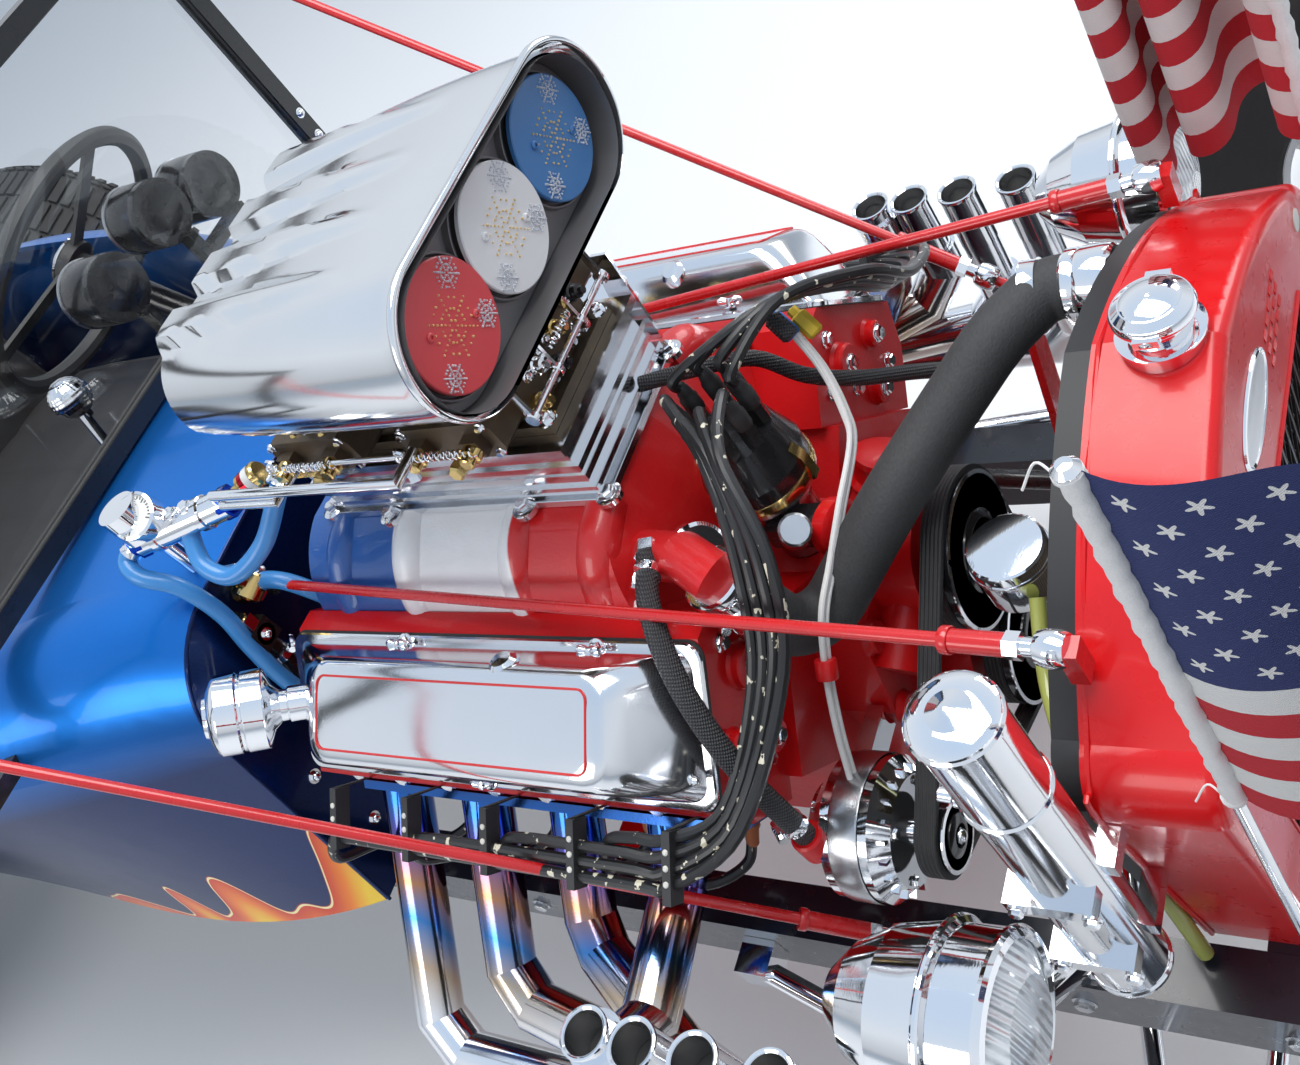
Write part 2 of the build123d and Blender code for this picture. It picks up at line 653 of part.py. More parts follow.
def distributor():
    """Shaft housing, round cap with eight towers, and the vacuum can on its side."""
    x = distributor_x
    base_z = valley_z + seat_gap
    unit = turned(Plane(origin=(x, 0, base_z), x_dir=(0, 0, 1), z_dir=(0, 1, 0)),
                  [(0, 0), (26, 0), (26, 60), (47, 84), (47, 112), (36, 146), (0, 146)])
    for k in range(8):
        a = radians(45 * k + 22.5)
        unit += Pos(x + 29 * cos(a), 29 * sin(a), base_z + 152) * extrude(RegularPolygon(8, 6), 18, both=True)
    unit += block((x + 6, x + 60), (-48, -20), (base_z + 48, base_z + 72))
    return unit


pump_z = 135
crank_pulley_r = 62
pump_pulley_r = 68
belt_x = (block_len + 108, block_len + 132)
pump_face_x = belt_x[0] - 14
crank_face_x = belt_x[0] - 18
alternator_y = -222
alternator_z = 60


def timing_cover():
    """Front cover with the water pump's two legs and its hub."""
    x0 = block_len + seat_gap
    cover = slab_x([(-104, -70), (104, -70), (118, 60), (96, 150), (-96, 150), (-118, 60)], x0, x0 + 52)
    cover += disc_x(x0 + 50, pump_face_x, 0, pump_z, 56)
    cover += disc_x(x0 + 50, crank_face_x, 0, 0, 48)
    for side in (1, -1):
        cover += rod((x0 + 70, 0, pump_z), (x0 + 62, side * 96, pump_z - 40), 24)
    cover += disc_x(pump_face_x - 4, belt_x[0] - seat_gap, 0, pump_z, 20)
    return cover


def pulleys():
    """Crankshaft, water pump and alternator pulleys inside one ribbed belt."""
    wheels = ((0, 0, crank_pulley_r), (0, pump_z, pump_pulley_r), (alternator_y, alternator_z, 30))

    def wrap(extra):
        edges = []
        for y, z, r in wheels:
            edges += (Pos(y, z) * Circle(r + extra)).edges()
        return section(belt_x[0] + 3, make_hull(edges))
    belt_w = belt_x[1] - belt_x[0] - 6
    train = extrude(wrap(5), belt_w) - extrude(wrap(-0.5), belt_w)
    for y, z, r in wheels:
        train += disc_x(belt_x[0], belt_x[1] - 8, y, z, r)
    train += disc_x(crank_face_x + seat_gap, belt_x[0] + 1, 0, 0, 26)
    return train


def alternator():
    """Alternator in its two end frames, on a bracket that bolts to the front cover."""
    rear_x = belt_x[0] - 82
    case = turned(Plane(origin=(rear_x, alternator_y, alternator_z), x_dir=(1, 0, 0), z_dir=(0, -1, 0)),
                  [(0, 0), (44, 0), (60, 14), (60, 56), (46, 70), (0, 70)])
    case += disc_x(rear_x + 70, belt_x[0] - seat_gap, alternator_y, alternator_z, 11)
    case += disc_x(rear_x - 10, rear_x + 2, alternator_y, alternator_z, 34)
    bracket = block((rear_x + 4, rear_x + 20), (alternator_y + 40, -118 - seat_gap),
                    (alternator_z - 14, alternator_z + 14))
    return case + bracket


def exhaust_headers():
    """Four primaries a side: down and out from the ports, forward in a nest, then up into open stacks."""
    flange_t = head_outer_t + seat_gap
    port_a = deck_height + port_height
    outline = [bank(*p) for p in ((flange_t, port_a - 21), (flange_t + 9, port_a - 21),
                                  (flange_t + 9, port_a + 26), (flange_t, port_a + 26))]
    side = slab_x(outline, 24, block_len - 24)
    start_y, start_z = bank(flange_t + 4, port_a)
    # x of each open end and height of its forward run, rear port first
    for k, (end_x, run_z) in enumerate(((577, -98), (513, -44), (458, 10), (412, 64))):
        port_x = first_bore_x + k * bore_pitch
        route = [(port_x, start_y, start_z), (port_x, start_y + start_z - run_z, run_z), (end_x, stack_y, run_z),
                 (end_x, stack_y, run_z + 68)]
        side += pipe(route, header_r, header_bend, 2)
        side += disc_z(end_x, stack_y, run_z + 60, stack_top_z, stack_r)
        side -= disc_z(end_x, stack_y, stack_top_z - 40, stack_top_z + 10, stack_r - 2)
    return both(side)


# Cooling

def shell_outline(inset):
    """Front outline of the radiator shell: lightly peaked crown, round shoulders, sides that draw in."""
    foot = (232 - inset, rail_top_z + seat_gap)
    side = (268 - inset, 222)
    mid_shoulder = (260 - inset, 249 - inset * 0.5)
    shoulder = (238 - inset * 0.8, shell_crown_z - 104 - inset * 0.8)
    mid_crown = (125 - inset * 0.3, shell_crown_z - 36 - inset)
    crown = (0, shell_crown_z - inset)
    left = lambda p: (-p[0], p[1])
    lines = [Line(foot, side), ThreePointArc(side, mid_shoulder, shoulder),
             ThreePointArc(shoulder, mid_crown, crown), ThreePointArc(crown, left(mid_crown), left(shoulder)),
             ThreePointArc(left(shoulder), left(mid_shoulder), left(side)), Line(left(side), left(foot)),
             Line(left(foot), foot)]
    return make_face(lines)


def grille_outline():
    return Polygon((-182, -20), (182, -20), (206, 180), (170, 222), (-170, 222), (-206, 180))


shell_front_x = shell_rear_x + shell_depth
shell_front_wall = 12


def shell_hull():
    outer = extrude(section(shell_rear_x, shell_outline(0)), shell_depth, dir=(1, 0, 0))
    return fillet(outer.faces().sort_by(Axis.X)[-1].edges(), 10)


def radiator_shell():
    inner = extrude(section(shell_rear_x - 1, shell_outline(shell_wall)), shell_depth - shell_front_wall + 1,
                    dir=(1, 0, 0))
    opening = extrude(section(shell_front_x - 40, grille_outline()), 60, dir=(1, 0, 0))
    feet = block((shell_rear_x - 5, shell_front_x - shell_front_wall), (-227, 227), (rail_top_z - 5, rail_top_z + 8))
    return shell_hull() - inner - opening - feet


def grille():
    """Mesh frame with upright bars, set behind the opening."""
    x0 = shell_front_x - shell_front_wall - seat_gap - 6
    outline = Polygon((-200, -30), (200, -30), (222, 190), (180, 236), (-180, 236), (-222, 190))
    hole = Polygon((-178, -14), (178, -14), (200, 178), (166, 216), (-166, 216), (-200, 178))
    mesh = extrude(section(x0, outline), 6)
    frame = mesh - extrude(section(x0 - 1, hole), 8)
    for k in range(-8, 9):
        frame += block((x0, x0 + 5), (k * 22 - 2, k * 22 + 2), (-20, 240)) & mesh
    return frame


inlet_yz = (134, 296)


def radiator():
    inset = shell_wall + seat_gap
    face = shell_outline(inset)
    core = extrude(section(radiator_rear_x, face), radiator_front_x - radiator_rear_x)
    # core recess between the tanks, front and rear
    pane = block((radiator_rear_x - 1, radiator_rear_x + 8), (-205, 205), (10, 215))
    pane += block((radiator_front_x - 8, radiator_front_x + 1), (-205, 205), (10, 215))
    core -= pane
    for y, z in (inlet_yz, (-150, -15)):
        core += rod((radiator_rear_x + 5, y, z), (radiator_rear_x - 30, y, z), 18)
    return core


def radiator_cap():
    """Filler neck on the crown of the shell, closed by a domed cap with two small ears."""
    x = shell_rear_x + 46
    base_z = shell_crown_z - 8
    neck = turned(Plane(origin=(x, 0, base_z), x_dir=(0, 0, 1), z_dir=(0, 1, 0)),
                  [(0, 0), (27, 0), (27, 14), (21, 16), (21, 30), (26, 31), (26, 38), (20, 43), (0, 48)])
    neck -= Pos(0, 0, seat_gap) * shell_hull()
    return neck + block((x - 8, x + 8), (-31, 31), (base_z + 31, base_z + 37))


def overflow_tank():
    """Polished standing tank, strapped to the right side of the shell."""
    x, y, r = 778, -296, 28
    tank = turned(Plane(origin=(x, y, 59), x_dir=(0, 0, 1), z_dir=(0, 1, 0)),
                  [(0, 0), (r, 0), (r, 348), (0, 357)])
    for z in (112, 205):
        arm = block((shell_rear_x + 3, shell_rear_x + 17), (y, -220), (z, z + 14))
        tank += block((x - 32, shell_rear_x + 8), (y - 32, y + 20), (z, z + 14)) + (arm - Pos(0, -seat_gap, 0) * shell_hull())
    return tank


def radiator_hose():
    """Moulded top hose from the radiator's inlet, under itself and up to the coolant outlet."""
    y, z = inlet_yz
    x = radiator_rear_x - 30 - seat_gap
    tail = outlet_end + outlet_run * seat_gap
    route = [(x, y, z), (x - 30, y, z), (683, 94, 293), (640, 38, 266), (603, -28, 247), tail + outlet_run * 102, tail]
    return tube(route, 25)


# Fuel, heater and ignition lines

def fuel_rail():
    """Fuel block on the cowl with its gauge, and a hard line to each carburetor."""
    start, end = (-74, -168, 420), (30, -126, 420)
    log = rod(start, end, 15)
    log += disc_z(-62, -163, 430, 466, 20)
    post = disc_z(-84, -150, 300, 428, 9)
    log += post - Pos(0, 0, seat_gap) * body_hull(0)
    for x, lift in ((carb_x[0] - 30, 12), (carb_x[1] - 30, 26)):
        log += pipe([(22, -129, 420), (46, -140, 420 + lift), (x, -140, 420 + lift),
                     (x, -106 - seat_gap, 420 + lift)], 5)
    return log


def heater_hoses():
    """Heater valve on the firewall and its hose down to the rear of the right head."""
    valve = block((firewall_x + seat_gap, -30), (-196, -168), (262, 290))
    port_y, port_z = bank(46, deck_height + 50)
    hose = tube([(-45, -182, 264), (-45, -182, 225), (-44, 3 - port_y, port_z + 18), (-18, -port_y, port_z),
                 (12 - seat_gap, -port_y, port_z)], 10)
    return valve + hose


def plug_leads():
    """Eight leads from the cap to the plugs, over a loom on each side."""
    boot_a = deck_height + 8
    boot_y, boot_z = bank(head_outer_t + seat_gap, boot_a)
    end_y, end_z = bank(head_outer_t + 40, boot_a)
    loom_y, loom_z = 318, 185
    loom_end_x = block_len - 30
    side = block((60, loom_end_x), (loom_y - 7, loom_y + 7), (loom_z - 7, loom_z + 7))
    for k in range(4):
        x = first_bore_x + k * bore_pitch + 56
        side += rod((x, boot_y, boot_z), (x, end_y, end_z), 8)
        side += pipe([(x, end_y - 2, end_z + 2), (x, end_y + 20, end_z - 10), (x, loom_y, loom_z)], 5)
    tower = (distributor_x + 29 * cos(radians(67.5)), 29 * sin(radians(67.5)), valley_z + 170 + 3 * seat_gap)
    side += pipe([(loom_end_x - 4, loom_y, loom_z), (loom_end_x + 40, loom_y - 22, loom_z + 15),
                  (distributor_x + 72, 192, 270), (distributor_x + 72, 142, 345), (distributor_x + 34, 60, 382),
                  (tower[0], tower[1], 368), tower], 10)
    return both(side)


# Body

# x, half width at the sill, half width and height where the side ends, the same where the top starts, crown
tub_sections = ((firewall_x, 326, 293, 225, 174, 345, 351), (windshield_x, 386, 368, 268, 232, 373, 381),
                (tub_rear_x + 590, 390, 484, 300, 400, 376, 425), (tub_rear_x + 210, 392, 488, 325, 400, 405, 450),
                (tub_rear_x, 380, 432, 300, 340, 380, 410))


def tub_section(x, sill, side_y, side_z, top_y, top_z, crown, inset, low):
    """Leaning sides, quarter-round shoulders and a flat crowned top."""
    foot, side, top = (sill - inset, low), (side_y - inset, side_z), (top_y, top_z - inset)
    bulge = sin(radians(45))
    shoulder = (top[0] + bulge * (side[0] - top[0]), side[1] + bulge * (top[1] - side[1]))
    left = lambda p: (-p[0], p[1])
    lines = [Line(left(foot), foot), Line(foot, side), ThreePointArc(side, shoulder, top),
             ThreePointArc(top, (0, crown - inset), left(top)), ThreePointArc(left(top), left(shoulder), left(side)),
             Line(left(side), left(foot))]
    return section(x, make_face(lines))


def body_hull(inset, ahead=0, low=tub_bottom_z):
    """The tub's outer form as a solid, or drawn in all round by an inset."""
    rows = [(firewall_x - inset + ahead, *tub_sections[0][1:])] + list(tub_sections[1:])
    hull = loft([tub_section(*row, inset, low) for row in rows])
    return hull & extrude(tub_plan(inset), 1000)


def tub_plan(inset):
    """Plan of the tub's rounded back, to trim the sides with."""
    rear = tub_rear_x + inset
    corner = 170 - inset
    return Plane.XY.offset(-200) * Pos((rear + 100) / 2, 0) * RectangleRounded(100 - rear, 2 * 492 - 2 * inset, corner)


tunnel_sections = ((firewall_x + 6, 168), (-300, 138), (-575, 128), (-650, 86), (tub_rear_x, 76))


def tunnel_hull(extra):
    return loft([section(x, Circle(r + extra)) for x, r in tunnel_sections], ruled=True)


floor_top_z = rail_top_z + 12


def body_tub():
    """Bucket body: cowl, sides and rounded back in one shell, open over the cockpit."""
    tub = body_hull(0) - body_hull(tub_wall, low=tub_bottom_z - 10)
    cockpit_front = windshield_x - 26
    cockpit_rear = tub_rear_x + 100
    # half of the opening's plan, from its front edge to its rear one
    half = [(cockpit_front, 306), (tub_rear_x + 640, 428), (tub_rear_x + 440, 434), (cockpit_rear, 432)]
    opening = Polygon(*half, *[(x, -y) for x, y in reversed(half)])
    opening = fillet(opening.vertices(), 60)
    tub -= extrude(Pos(0, 0, 150) * opening, 500)
    tunnel = tunnel_hull(tunnel_wall + seat_gap)
    for x in ((-200, 100), (tub_rear_x - 100, tub_rear_x + 60)):
        tub -= tunnel & block(x, (-300, 300), (-200, 300))
    return tub - column_hole()


def column_hole():
    knee = Vector(*shaft_knee)
    return rod(knee, knee + column_direction() * 160, 24)


def cockpit_floor():
    """Floor panel with the transmission tunnel and the seat risers."""
    hull = body_hull(tub_wall + seat_gap, low=tub_bottom_z - 10)
    panel = hull & block((tub_rear_x - 10, 0), (-600, 600), (tub_bottom_z, floor_top_z))
    risers = block((tub_rear_x + 92, tub_rear_x + 570), (-360, 360), (floor_top_z - 1, seat_base_z))
    tunnel = tunnel_hull(tunnel_wall) & block((tub_rear_x, firewall_x - tub_wall), (-300, 300), (tub_bottom_z, 300))
    return panel + risers + tunnel - tunnel_hull(0) - column_hole()


def seat():
    """Bench cushion and backrest, one soft piece each."""
    low = seat_base_z + seat_gap
    rear = tub_rear_x
    cushion = block((rear + 192, rear + 635), (-378, 378), (low, low + 110))
    cushion = chamfer(cushion.edges(), 14)
    back = slab_y([(rear + 140, low), (rear + 187, low + 10), (rear + 162, 430), (rear + 112, 430),
                   (rear + 94, low)], -378, 378)
    return Compound(children=[cushion, chamfer(back.edges(), 10)])


def dash():
    """Dash panel under the cowl with three round gauge cups on stems."""
    panel = block((-352, -336), (-320, 320), (232, 420)) & body_hull(tub_wall + seat_gap)
    # y, z of each cup
    for y, z in ((174, 466), (290, 476), (372, 446)):
        cup = disc_x(-420, -362, y, z, 42) - disc_x(-421, -408, y, z, 37)
        cup += block((-372, -350), (y - 6, y + 6), (z - 60, z - 38))
        panel += cup
    knee = Vector(*shaft_knee)
    panel -= rod(knee, Vector(*wheel_hub), column_r + pin_gap)
    panel += block((-372, -350), (168, 180), (330, 412))
    panel += block((-372, -350), (284, 296), (318, 434))
    panel += block((-372, -350), (295, 378), (394, 408))
    return panel


def shifter():
    """Boot on the tunnel, a bent-back stick and its round knob."""
    foot_z = 139.4
    boot = loft([Plane(origin=(-420, 0, foot_z)) * Rectangle(90, 70),
                 Plane(origin=(-424, 0, foot_z + 46)) * Rectangle(24, 22)])
    stick = rod((-424, 0, foot_z + 40), (-452, 60, 380), 7)
    lean = Vector(-0.09, 0.19, 0.98).normalized()
    knob = turned(Plane(origin=(-453, 62, 376), x_dir=lean, z_dir=lean.cross(Vector(1, 0, 0))),
                  [(0, 0), (18, 0), (27, 16), (27, 34), (12, 52), (0, 52)])
    return boot + stick + knob


def windshield_frame():
    """Square-cornered frame on two legs that stand off the cowl's sides."""
    outer = block((windshield_x - 10, windshield_x + 10), (-windshield_half_w, windshield_half_w),
                  (windshield_bottom_z, windshield_top_z))
    bar = windshield_rail
    hole = block((windshield_x - 11, windshield_x + 11), (bar - windshield_half_w, windshield_half_w - bar),
                 (windshield_bottom_z + bar - 2, windshield_top_z - bar))
    frame = outer - hole
    body = body_hull(0)
    for side in (1, -1):
        frame += block((windshield_x - 8, windshield_x + 8), (side * (windshield_half_w - 20), side * windshield_half_w),
                       (290, windshield_bottom_z + 2))
        arm = block((windshield_x - 8, windshield_x + 8), (side * 340, side * windshield_half_w), (290, 308))
        frame += arm - Pos(0, side * seat_gap, 0) * body
    return frame


def windshield_glass():
    edge = windshield_half_w - windshield_rail - seat_gap
    return block((windshield_x - 3, windshield_x + 3), (-edge, edge),
                 (windshield_bottom_z + windshield_rail - 2 + seat_gap, windshield_top_z - windshield_rail - seat_gap))


def stay_rods():
    """Four threaded red stays: windshield to frame, and firewall to radiator shell."""
    r = 5
    top_y, top_z = windshield_half_w - 10, 700
    post_x = windshield_x + 10 + seat_gap
    stays = []
    near = rod((post_x + 5, -top_y, top_z), (585, -278, rail_top_z + 6), r)
    near += block((post_x, post_x + 12), (-top_y - 8, -top_y + 8), (top_z - 8, top_z + 8))
    near += block((570, 600), (-288, -262), (rail_top_z + seat_gap, rail_top_z + 10))
    far = rod((post_x + 5, top_y, top_z), (600, 315, 123), r)
    far += block((post_x, post_x + 12), (top_y - 8, top_y + 8), (top_z - 8, top_z + 8))
    far += slab_x([(250, rail_top_z + seat_gap), (288, rail_top_z + seat_gap), (326, 108), (326, 134), (304, 134)],
                  596, 604)
    shell = Pos(0, 0, seat_gap) * shell_hull()
    for side in (1, -1):
        bar = rod((firewall_x + 3, side * 134, 297), (802, side * 207, 327), r)
        bar += block((firewall_x + seat_gap, firewall_x + 6), (side * 120, side * 148), (283, 311))
        bar += block((797, 809), (side * 199, side * 215), (300, 331)) - shell
        stays.append(bar)
    return Compound(children=[near, far] + stays)


# Lamps, bed and tank

lamp_centre = (712, 390, 168)
lamp_r = 62


def headlamps():
    """Bullet-shaped buckets with a seam ring, on slanted stands that rise from the frame rails."""
    x, y, z = lamp_centre
    bucket = turned(Plane(origin=(x, y, z), x_dir=(1, 0, 0), z_dir=(0, -1, 0)),
                    [(0, -92), (22, -88), (40, -70), (54, -42), (lamp_r - 1, -6), (lamp_r + 3, -4), (lamp_r + 3, 2),
                     (lamp_r - 1, 4), (lamp_r, 38), (lamp_r - 6, 40), (lamp_r - 6, 24), (0, 24)])
    stand = rod((x, y, z - 50), (x, rail_mid_y + 6, rail_top_z + 14), 12)
    stand += block((x - 24, x + 24), (rail_mid_y - 20, rail_mid_y + 20), (rail_top_z + seat_gap, rail_top_z + 8))
    return both(bucket + stand)


def headlamp_lenses():
    x, y, z = lamp_centre
    lens = turned(Plane(origin=(x, y, z), x_dir=(1, 0, 0), z_dir=(0, -1, 0)),
                  [(0, 30), (lamp_r - 6 - seat_gap, 30), (lamp_r - 6 - seat_gap, 38), (36, 49), (0, 52)])
    return both(lens)


def pickup_bed():
    x0, x1 = tub_rear_x - 12, rail_rear_x
    z0, z1 = rear_rail_top_z + seat_gap, bed_top_z
    outer = block((x1, x0), (-432, 432), (z0, z1))
    inner = block((x1 + 6, x0 - 6), (-426, 426), (z0 + 6, z1 + 1))
    bed = outer - inner
    rim = block((x1 - 6, x0 + 4), (-444, 444), (z1 - 14, z1)) - block((x1 + 6, x0 - 6), (-426, 426), (z1 - 20, z1 + 1))
    return bed + rim


def fuel_tank():
    """Flat tank on the bed's floor, with its filler on the left."""
    z0 = rear_rail_top_z + 6 + 2 * seat_gap
    rear, front = rail_rear_x + 100, rail_rear_x + 460
    tank = block((rear, front), (-tank_half_w, tank_half_w), (z0, z0 + tank_h))
    tank = chamfer(tank.edges().filter_by(Axis.Y), tank_h / 5)
    return tank + disc_z((rear + front) / 2, tank_half_w - 100, z0 + tank_h - 2, z0 + tank_h + 20, 30)


def tail_lamps():
    x = rail_rear_x
    lamp = turned(Plane(origin=(x - seat_gap, 300, 250), x_dir=(-1, 0, 0), z_dir=(0, 1, 0)),
                  [(0, 0), (42, 0), (42, 26), (0, 38)])
    return both(lamp)


def flags():
    """Two small cloth flags, each sewn to a thin pole that stands on a frame rail ahead of the shell."""
    x, top = rail_front_x - 12, 590
    y = rail_mid_y + 7
    # side of the car, then the cloth's outline as it hangs: distance ahead of the pole, drop below its top
    cloths = ((-1, ((0, 5), (92, 45), (97, 460), (37, 505), (0, 310))),
              (1, ((0, 5), (-98, 30), (-104, 345), (-60, 380), (0, 310))))
    flown = []
    for side, outline in cloths:
        pole = rod((x, side * y, rail_top_z + seat_gap), (x, side * y, top), 4)
        flown.append(pole + slab_y([(x + ahead, top - drop) for ahead, drop in outline], side * y - 3, side * y + 3))
    return Compound(children=flown)


nodes = {
    "frame_rails": frame_rails, "frame_crossmembers": frame_crossmembers, "front_axle": front_axle,
    "front_spring": front_spring, "link_rods": link_rods, "knuckle_left": knuckle_left,
    "tie_rod": tie_rod, "drag_link": drag_link, "pitman_arm": pitman_arm,
    "steering_column": steering_column, "steering_wheel": steering_wheel, "rear_axle": rear_axle,
    "coilovers": coilovers, "driveline": driveline,
    "engine_block": engine_block, "cylinder_heads": cylinder_heads, "valve_covers": valve_covers,
    "intake_manifold": intake_manifold, "plenum": plenum, "carburetors": carburetors,
    "intake_scoop": intake_scoop, "scoop_plates": scoop_plates,
    "distributor": distributor, "timing_cover": timing_cover, "pulleys": pulleys,
    "alternator": alternator, "exhaust_headers": exhaust_headers, "radiator_shell": radiator_shell,
    "grille": grille, "radiator": radiator, "radiator_cap": radiator_cap,
    "overflow_tank": overflow_tank, "radiator_hose": radiator_hose, "fuel_rail": fuel_rail,
    "heater_hoses": heater_hoses, "plug_leads": plug_leads,
    "body_tub": body_tub, "cockpit_floor": cockpit_floor, "seat": seat, "dash": dash,
    "shifter": shifter, "windshield_frame": windshield_frame, "windshield_glass": windshield_glass,
    "stay_rods": stay_rods, "headlamps": headlamps, "headlamp_lenses": headlamp_lenses,
    "pickup_bed": pickup_bed, "fuel_tank": fuel_tank, "tail_lamps": tail_lamps, "flags": flags,
}


def save(name, shape):
    export_step(Pos(datum_x, 0, crank_height) * shape, f"parts/{name}.step")


os.makedirs("parts", exist_ok=True)
for name, make in nodes.items():
    save(name, make())
save("knuckle_right", mirror(knuckle_left(), Plane.XZ))
front_rim = wheel_rim(front_rim_w, 16, front_hub_in, spindle_r + pin_gap)
rear_rim = wheel_rim(rear_rim_w, 0, rear_hub_in, 30 + pin_gap)
front_tyre = tyre(front_tyre_d, front_tyre_w)
rear_tyre = tyre(rear_tyre_d, rear_tyre_w)
for word, side in (("left", 1), ("right", -1)):
    save(f"front_rim_{word}", placed(front_rim, front_axle_x, side * front_wheel_y, front_wheel_z))
    save(f"front_tyre_{word}", placed(front_tyre, front_axle_x, side * front_wheel_y, front_wheel_z))
    save(f"rear_rim_{word}", placed(rear_rim, rear_axle_x, side * rear_wheel_y, rear_wheel_z))
    save(f"rear_tyre_{word}", placed(rear_tyre, rear_axle_x, side * rear_wheel_y, rear_wheel_z))
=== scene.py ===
"""An open-engined hot rod roadster, dressed round its frame of named parts.

Lengths in the sections below are millimetres from the crankshaft's centre at the rear face of the
engine block: x forward, y to the car's left, z up. at() turns them into metres on the ground.
"""
from math import cos, hypot, pi, radians, sin, sqrt
from random import Random

import bmesh
import bpy
from mathutils import Matrix, Vector


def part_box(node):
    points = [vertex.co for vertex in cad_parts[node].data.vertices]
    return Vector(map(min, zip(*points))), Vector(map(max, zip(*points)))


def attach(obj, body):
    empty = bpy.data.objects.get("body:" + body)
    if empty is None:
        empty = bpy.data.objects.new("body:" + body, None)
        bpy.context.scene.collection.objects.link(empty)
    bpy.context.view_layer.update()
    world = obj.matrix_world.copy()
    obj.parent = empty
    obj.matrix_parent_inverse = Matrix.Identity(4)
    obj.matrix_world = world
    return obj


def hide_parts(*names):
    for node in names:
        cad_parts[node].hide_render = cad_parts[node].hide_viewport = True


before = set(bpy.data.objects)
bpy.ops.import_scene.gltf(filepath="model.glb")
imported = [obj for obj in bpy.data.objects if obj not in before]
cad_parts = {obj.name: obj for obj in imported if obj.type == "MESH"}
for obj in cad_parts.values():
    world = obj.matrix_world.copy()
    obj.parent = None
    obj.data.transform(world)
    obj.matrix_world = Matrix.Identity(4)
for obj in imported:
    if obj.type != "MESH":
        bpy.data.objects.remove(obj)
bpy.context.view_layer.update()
scene = bpy.context.scene
scene.view_settings.view_transform = "Standard"

# The car stands on its tyres, and everything is placed from its engine: the block's sump hangs
# 190 mm below the crankshaft, and the block's rear face is where lengths along the car begin.
SUMP_DROP = 190
block_low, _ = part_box("engine_block")
BLOCK_REAR, CRANK_HEIGHT = block_low.x, block_low.z + SUMP_DROP / 1000


def at(x, y, z):
    return Vector((BLOCK_REAR + x / 1000, y / 1000, CRANK_HEIGHT + z / 1000))


# The eye is high over the front right wheel and looks back down into the engine bay, with the
# camera rolled so that the car's nose points to the right of the picture.
EYE = (1.4329, -0.6149, 1.4731)
HEADING, PITCH, ROLL = radians(50.13), radians(50.96), radians(-40.30)
FOCAL_LENGTH, SENSOR_W = 37.6, 36
# the picture's width, and the strip at its foot that is no part of the view, in pixels
PICTURE_W, LOWER_STRIP_H = 1300, 90

lens = bpy.data.cameras.new("photograph_view")
lens.lens, lens.sensor_width = FOCAL_LENGTH, SENSOR_W
lens.shift_y = -LOWER_STRIP_H / 2 / PICTURE_W
lens.clip_start, lens.clip_end = 0.02, 60
eye = bpy.data.objects.new("photograph_view", lens)
turn = Matrix.Rotation(HEADING, 4, "Z") @ Matrix.Rotation(PITCH, 4, "X") @ Matrix.Rotation(ROLL, 4, "Z")
eye.matrix_world = Matrix.Translation(EYE) @ turn
scene.collection.objects.link(eye)
scene.camera = eye


# The studio: a pale matt floor without an edge in view, a wide soft light overhead, a weaker one
# from the car's left, and a pale room that bright metal can mirror.
class Wire:
    """A shader socket that can be reckoned with: each operator adds a Math node."""

    tree = None

    def __init__(self, socket):
        self.socket = socket

    @classmethod
    def node(cls, kind, settings, sockets, out=0):
        made = cls.tree.nodes.new("ShaderNode" + kind)
        for key, value in settings.items():
            if key == "stops":
                stops = made.color_ramp.elements
                while len(stops) < len(value):
                    stops.new(1)
                for stop, (place, colour) in zip(stops, value):
                    stop.position, stop.color = place, (*colour, 1)
            else:
                setattr(made, key, value)
        for key, value in sockets.items():
            socket = made.inputs[key]
            if isinstance(value, Wire):
                cls.tree.links.new(value.socket, socket)
            elif socket.type == "RGBA" and len(value) == 3:
                socket.default_value = (*value, 1)
            else:
                socket.default_value = value
        return Wire(made.outputs[out]) if made.outputs else None

    def math(self, operation, other=0.0, swapped=False):
        pair = (other, self) if swapped else (self, other)
        return Wire.node("Math", {"operation": operation}, {0: pair[0], 1: pair[1]})

    def __add__(self, other):
        return self.math("ADD", other)

    def __sub__(self, other):
        return self.math("SUBTRACT", other)

    def __rsub__(self, other):
        return self.math("SUBTRACT", other, swapped=True)

    def __mul__(self, other):
        return self.math("MULTIPLY", other)

    def __truediv__(self, other):
        return self.math("DIVIDE", other)

    def __pow__(self, other):
        return self.math("POWER", other)

    def __gt__(self, other):
        return self.math("GREATER_THAN", other)

    def __lt__(self, other):
        return self.math("LESS_THAN", other)

    __radd__ = __add__
    __rmul__ = __mul__

    def clamped(self):
        return self.math("MAXIMUM", 0.0).math("MINIMUM", 1.0)

    def between(self, low, high):
        """0 below low, 1 above high and a straight slope from one to the other."""
        return ((self - low) / (high - low)).clamped()


def where(axis=None):
    """The point being shaded in metres, or its distance along one axis."""
    place = Wire.node("TexCoord", {}, {}, "Object")
    return place if axis is None else Wire.node("SeparateXYZ", {}, {0: place}, axis)


def mottle(scale, detail=3.0, stretch=None):
    """Soft noise from 0 to 1; scale is about how many blots a metre holds."""
    place = where()
    if stretch:
        place = Wire.node("VectorMath", {"operation": "MULTIPLY"}, {0: place, 1: stretch})
    return Wire.node("TexNoise", {}, {"Vector": place, "Scale": scale, "Detail": detail}, "Fac")


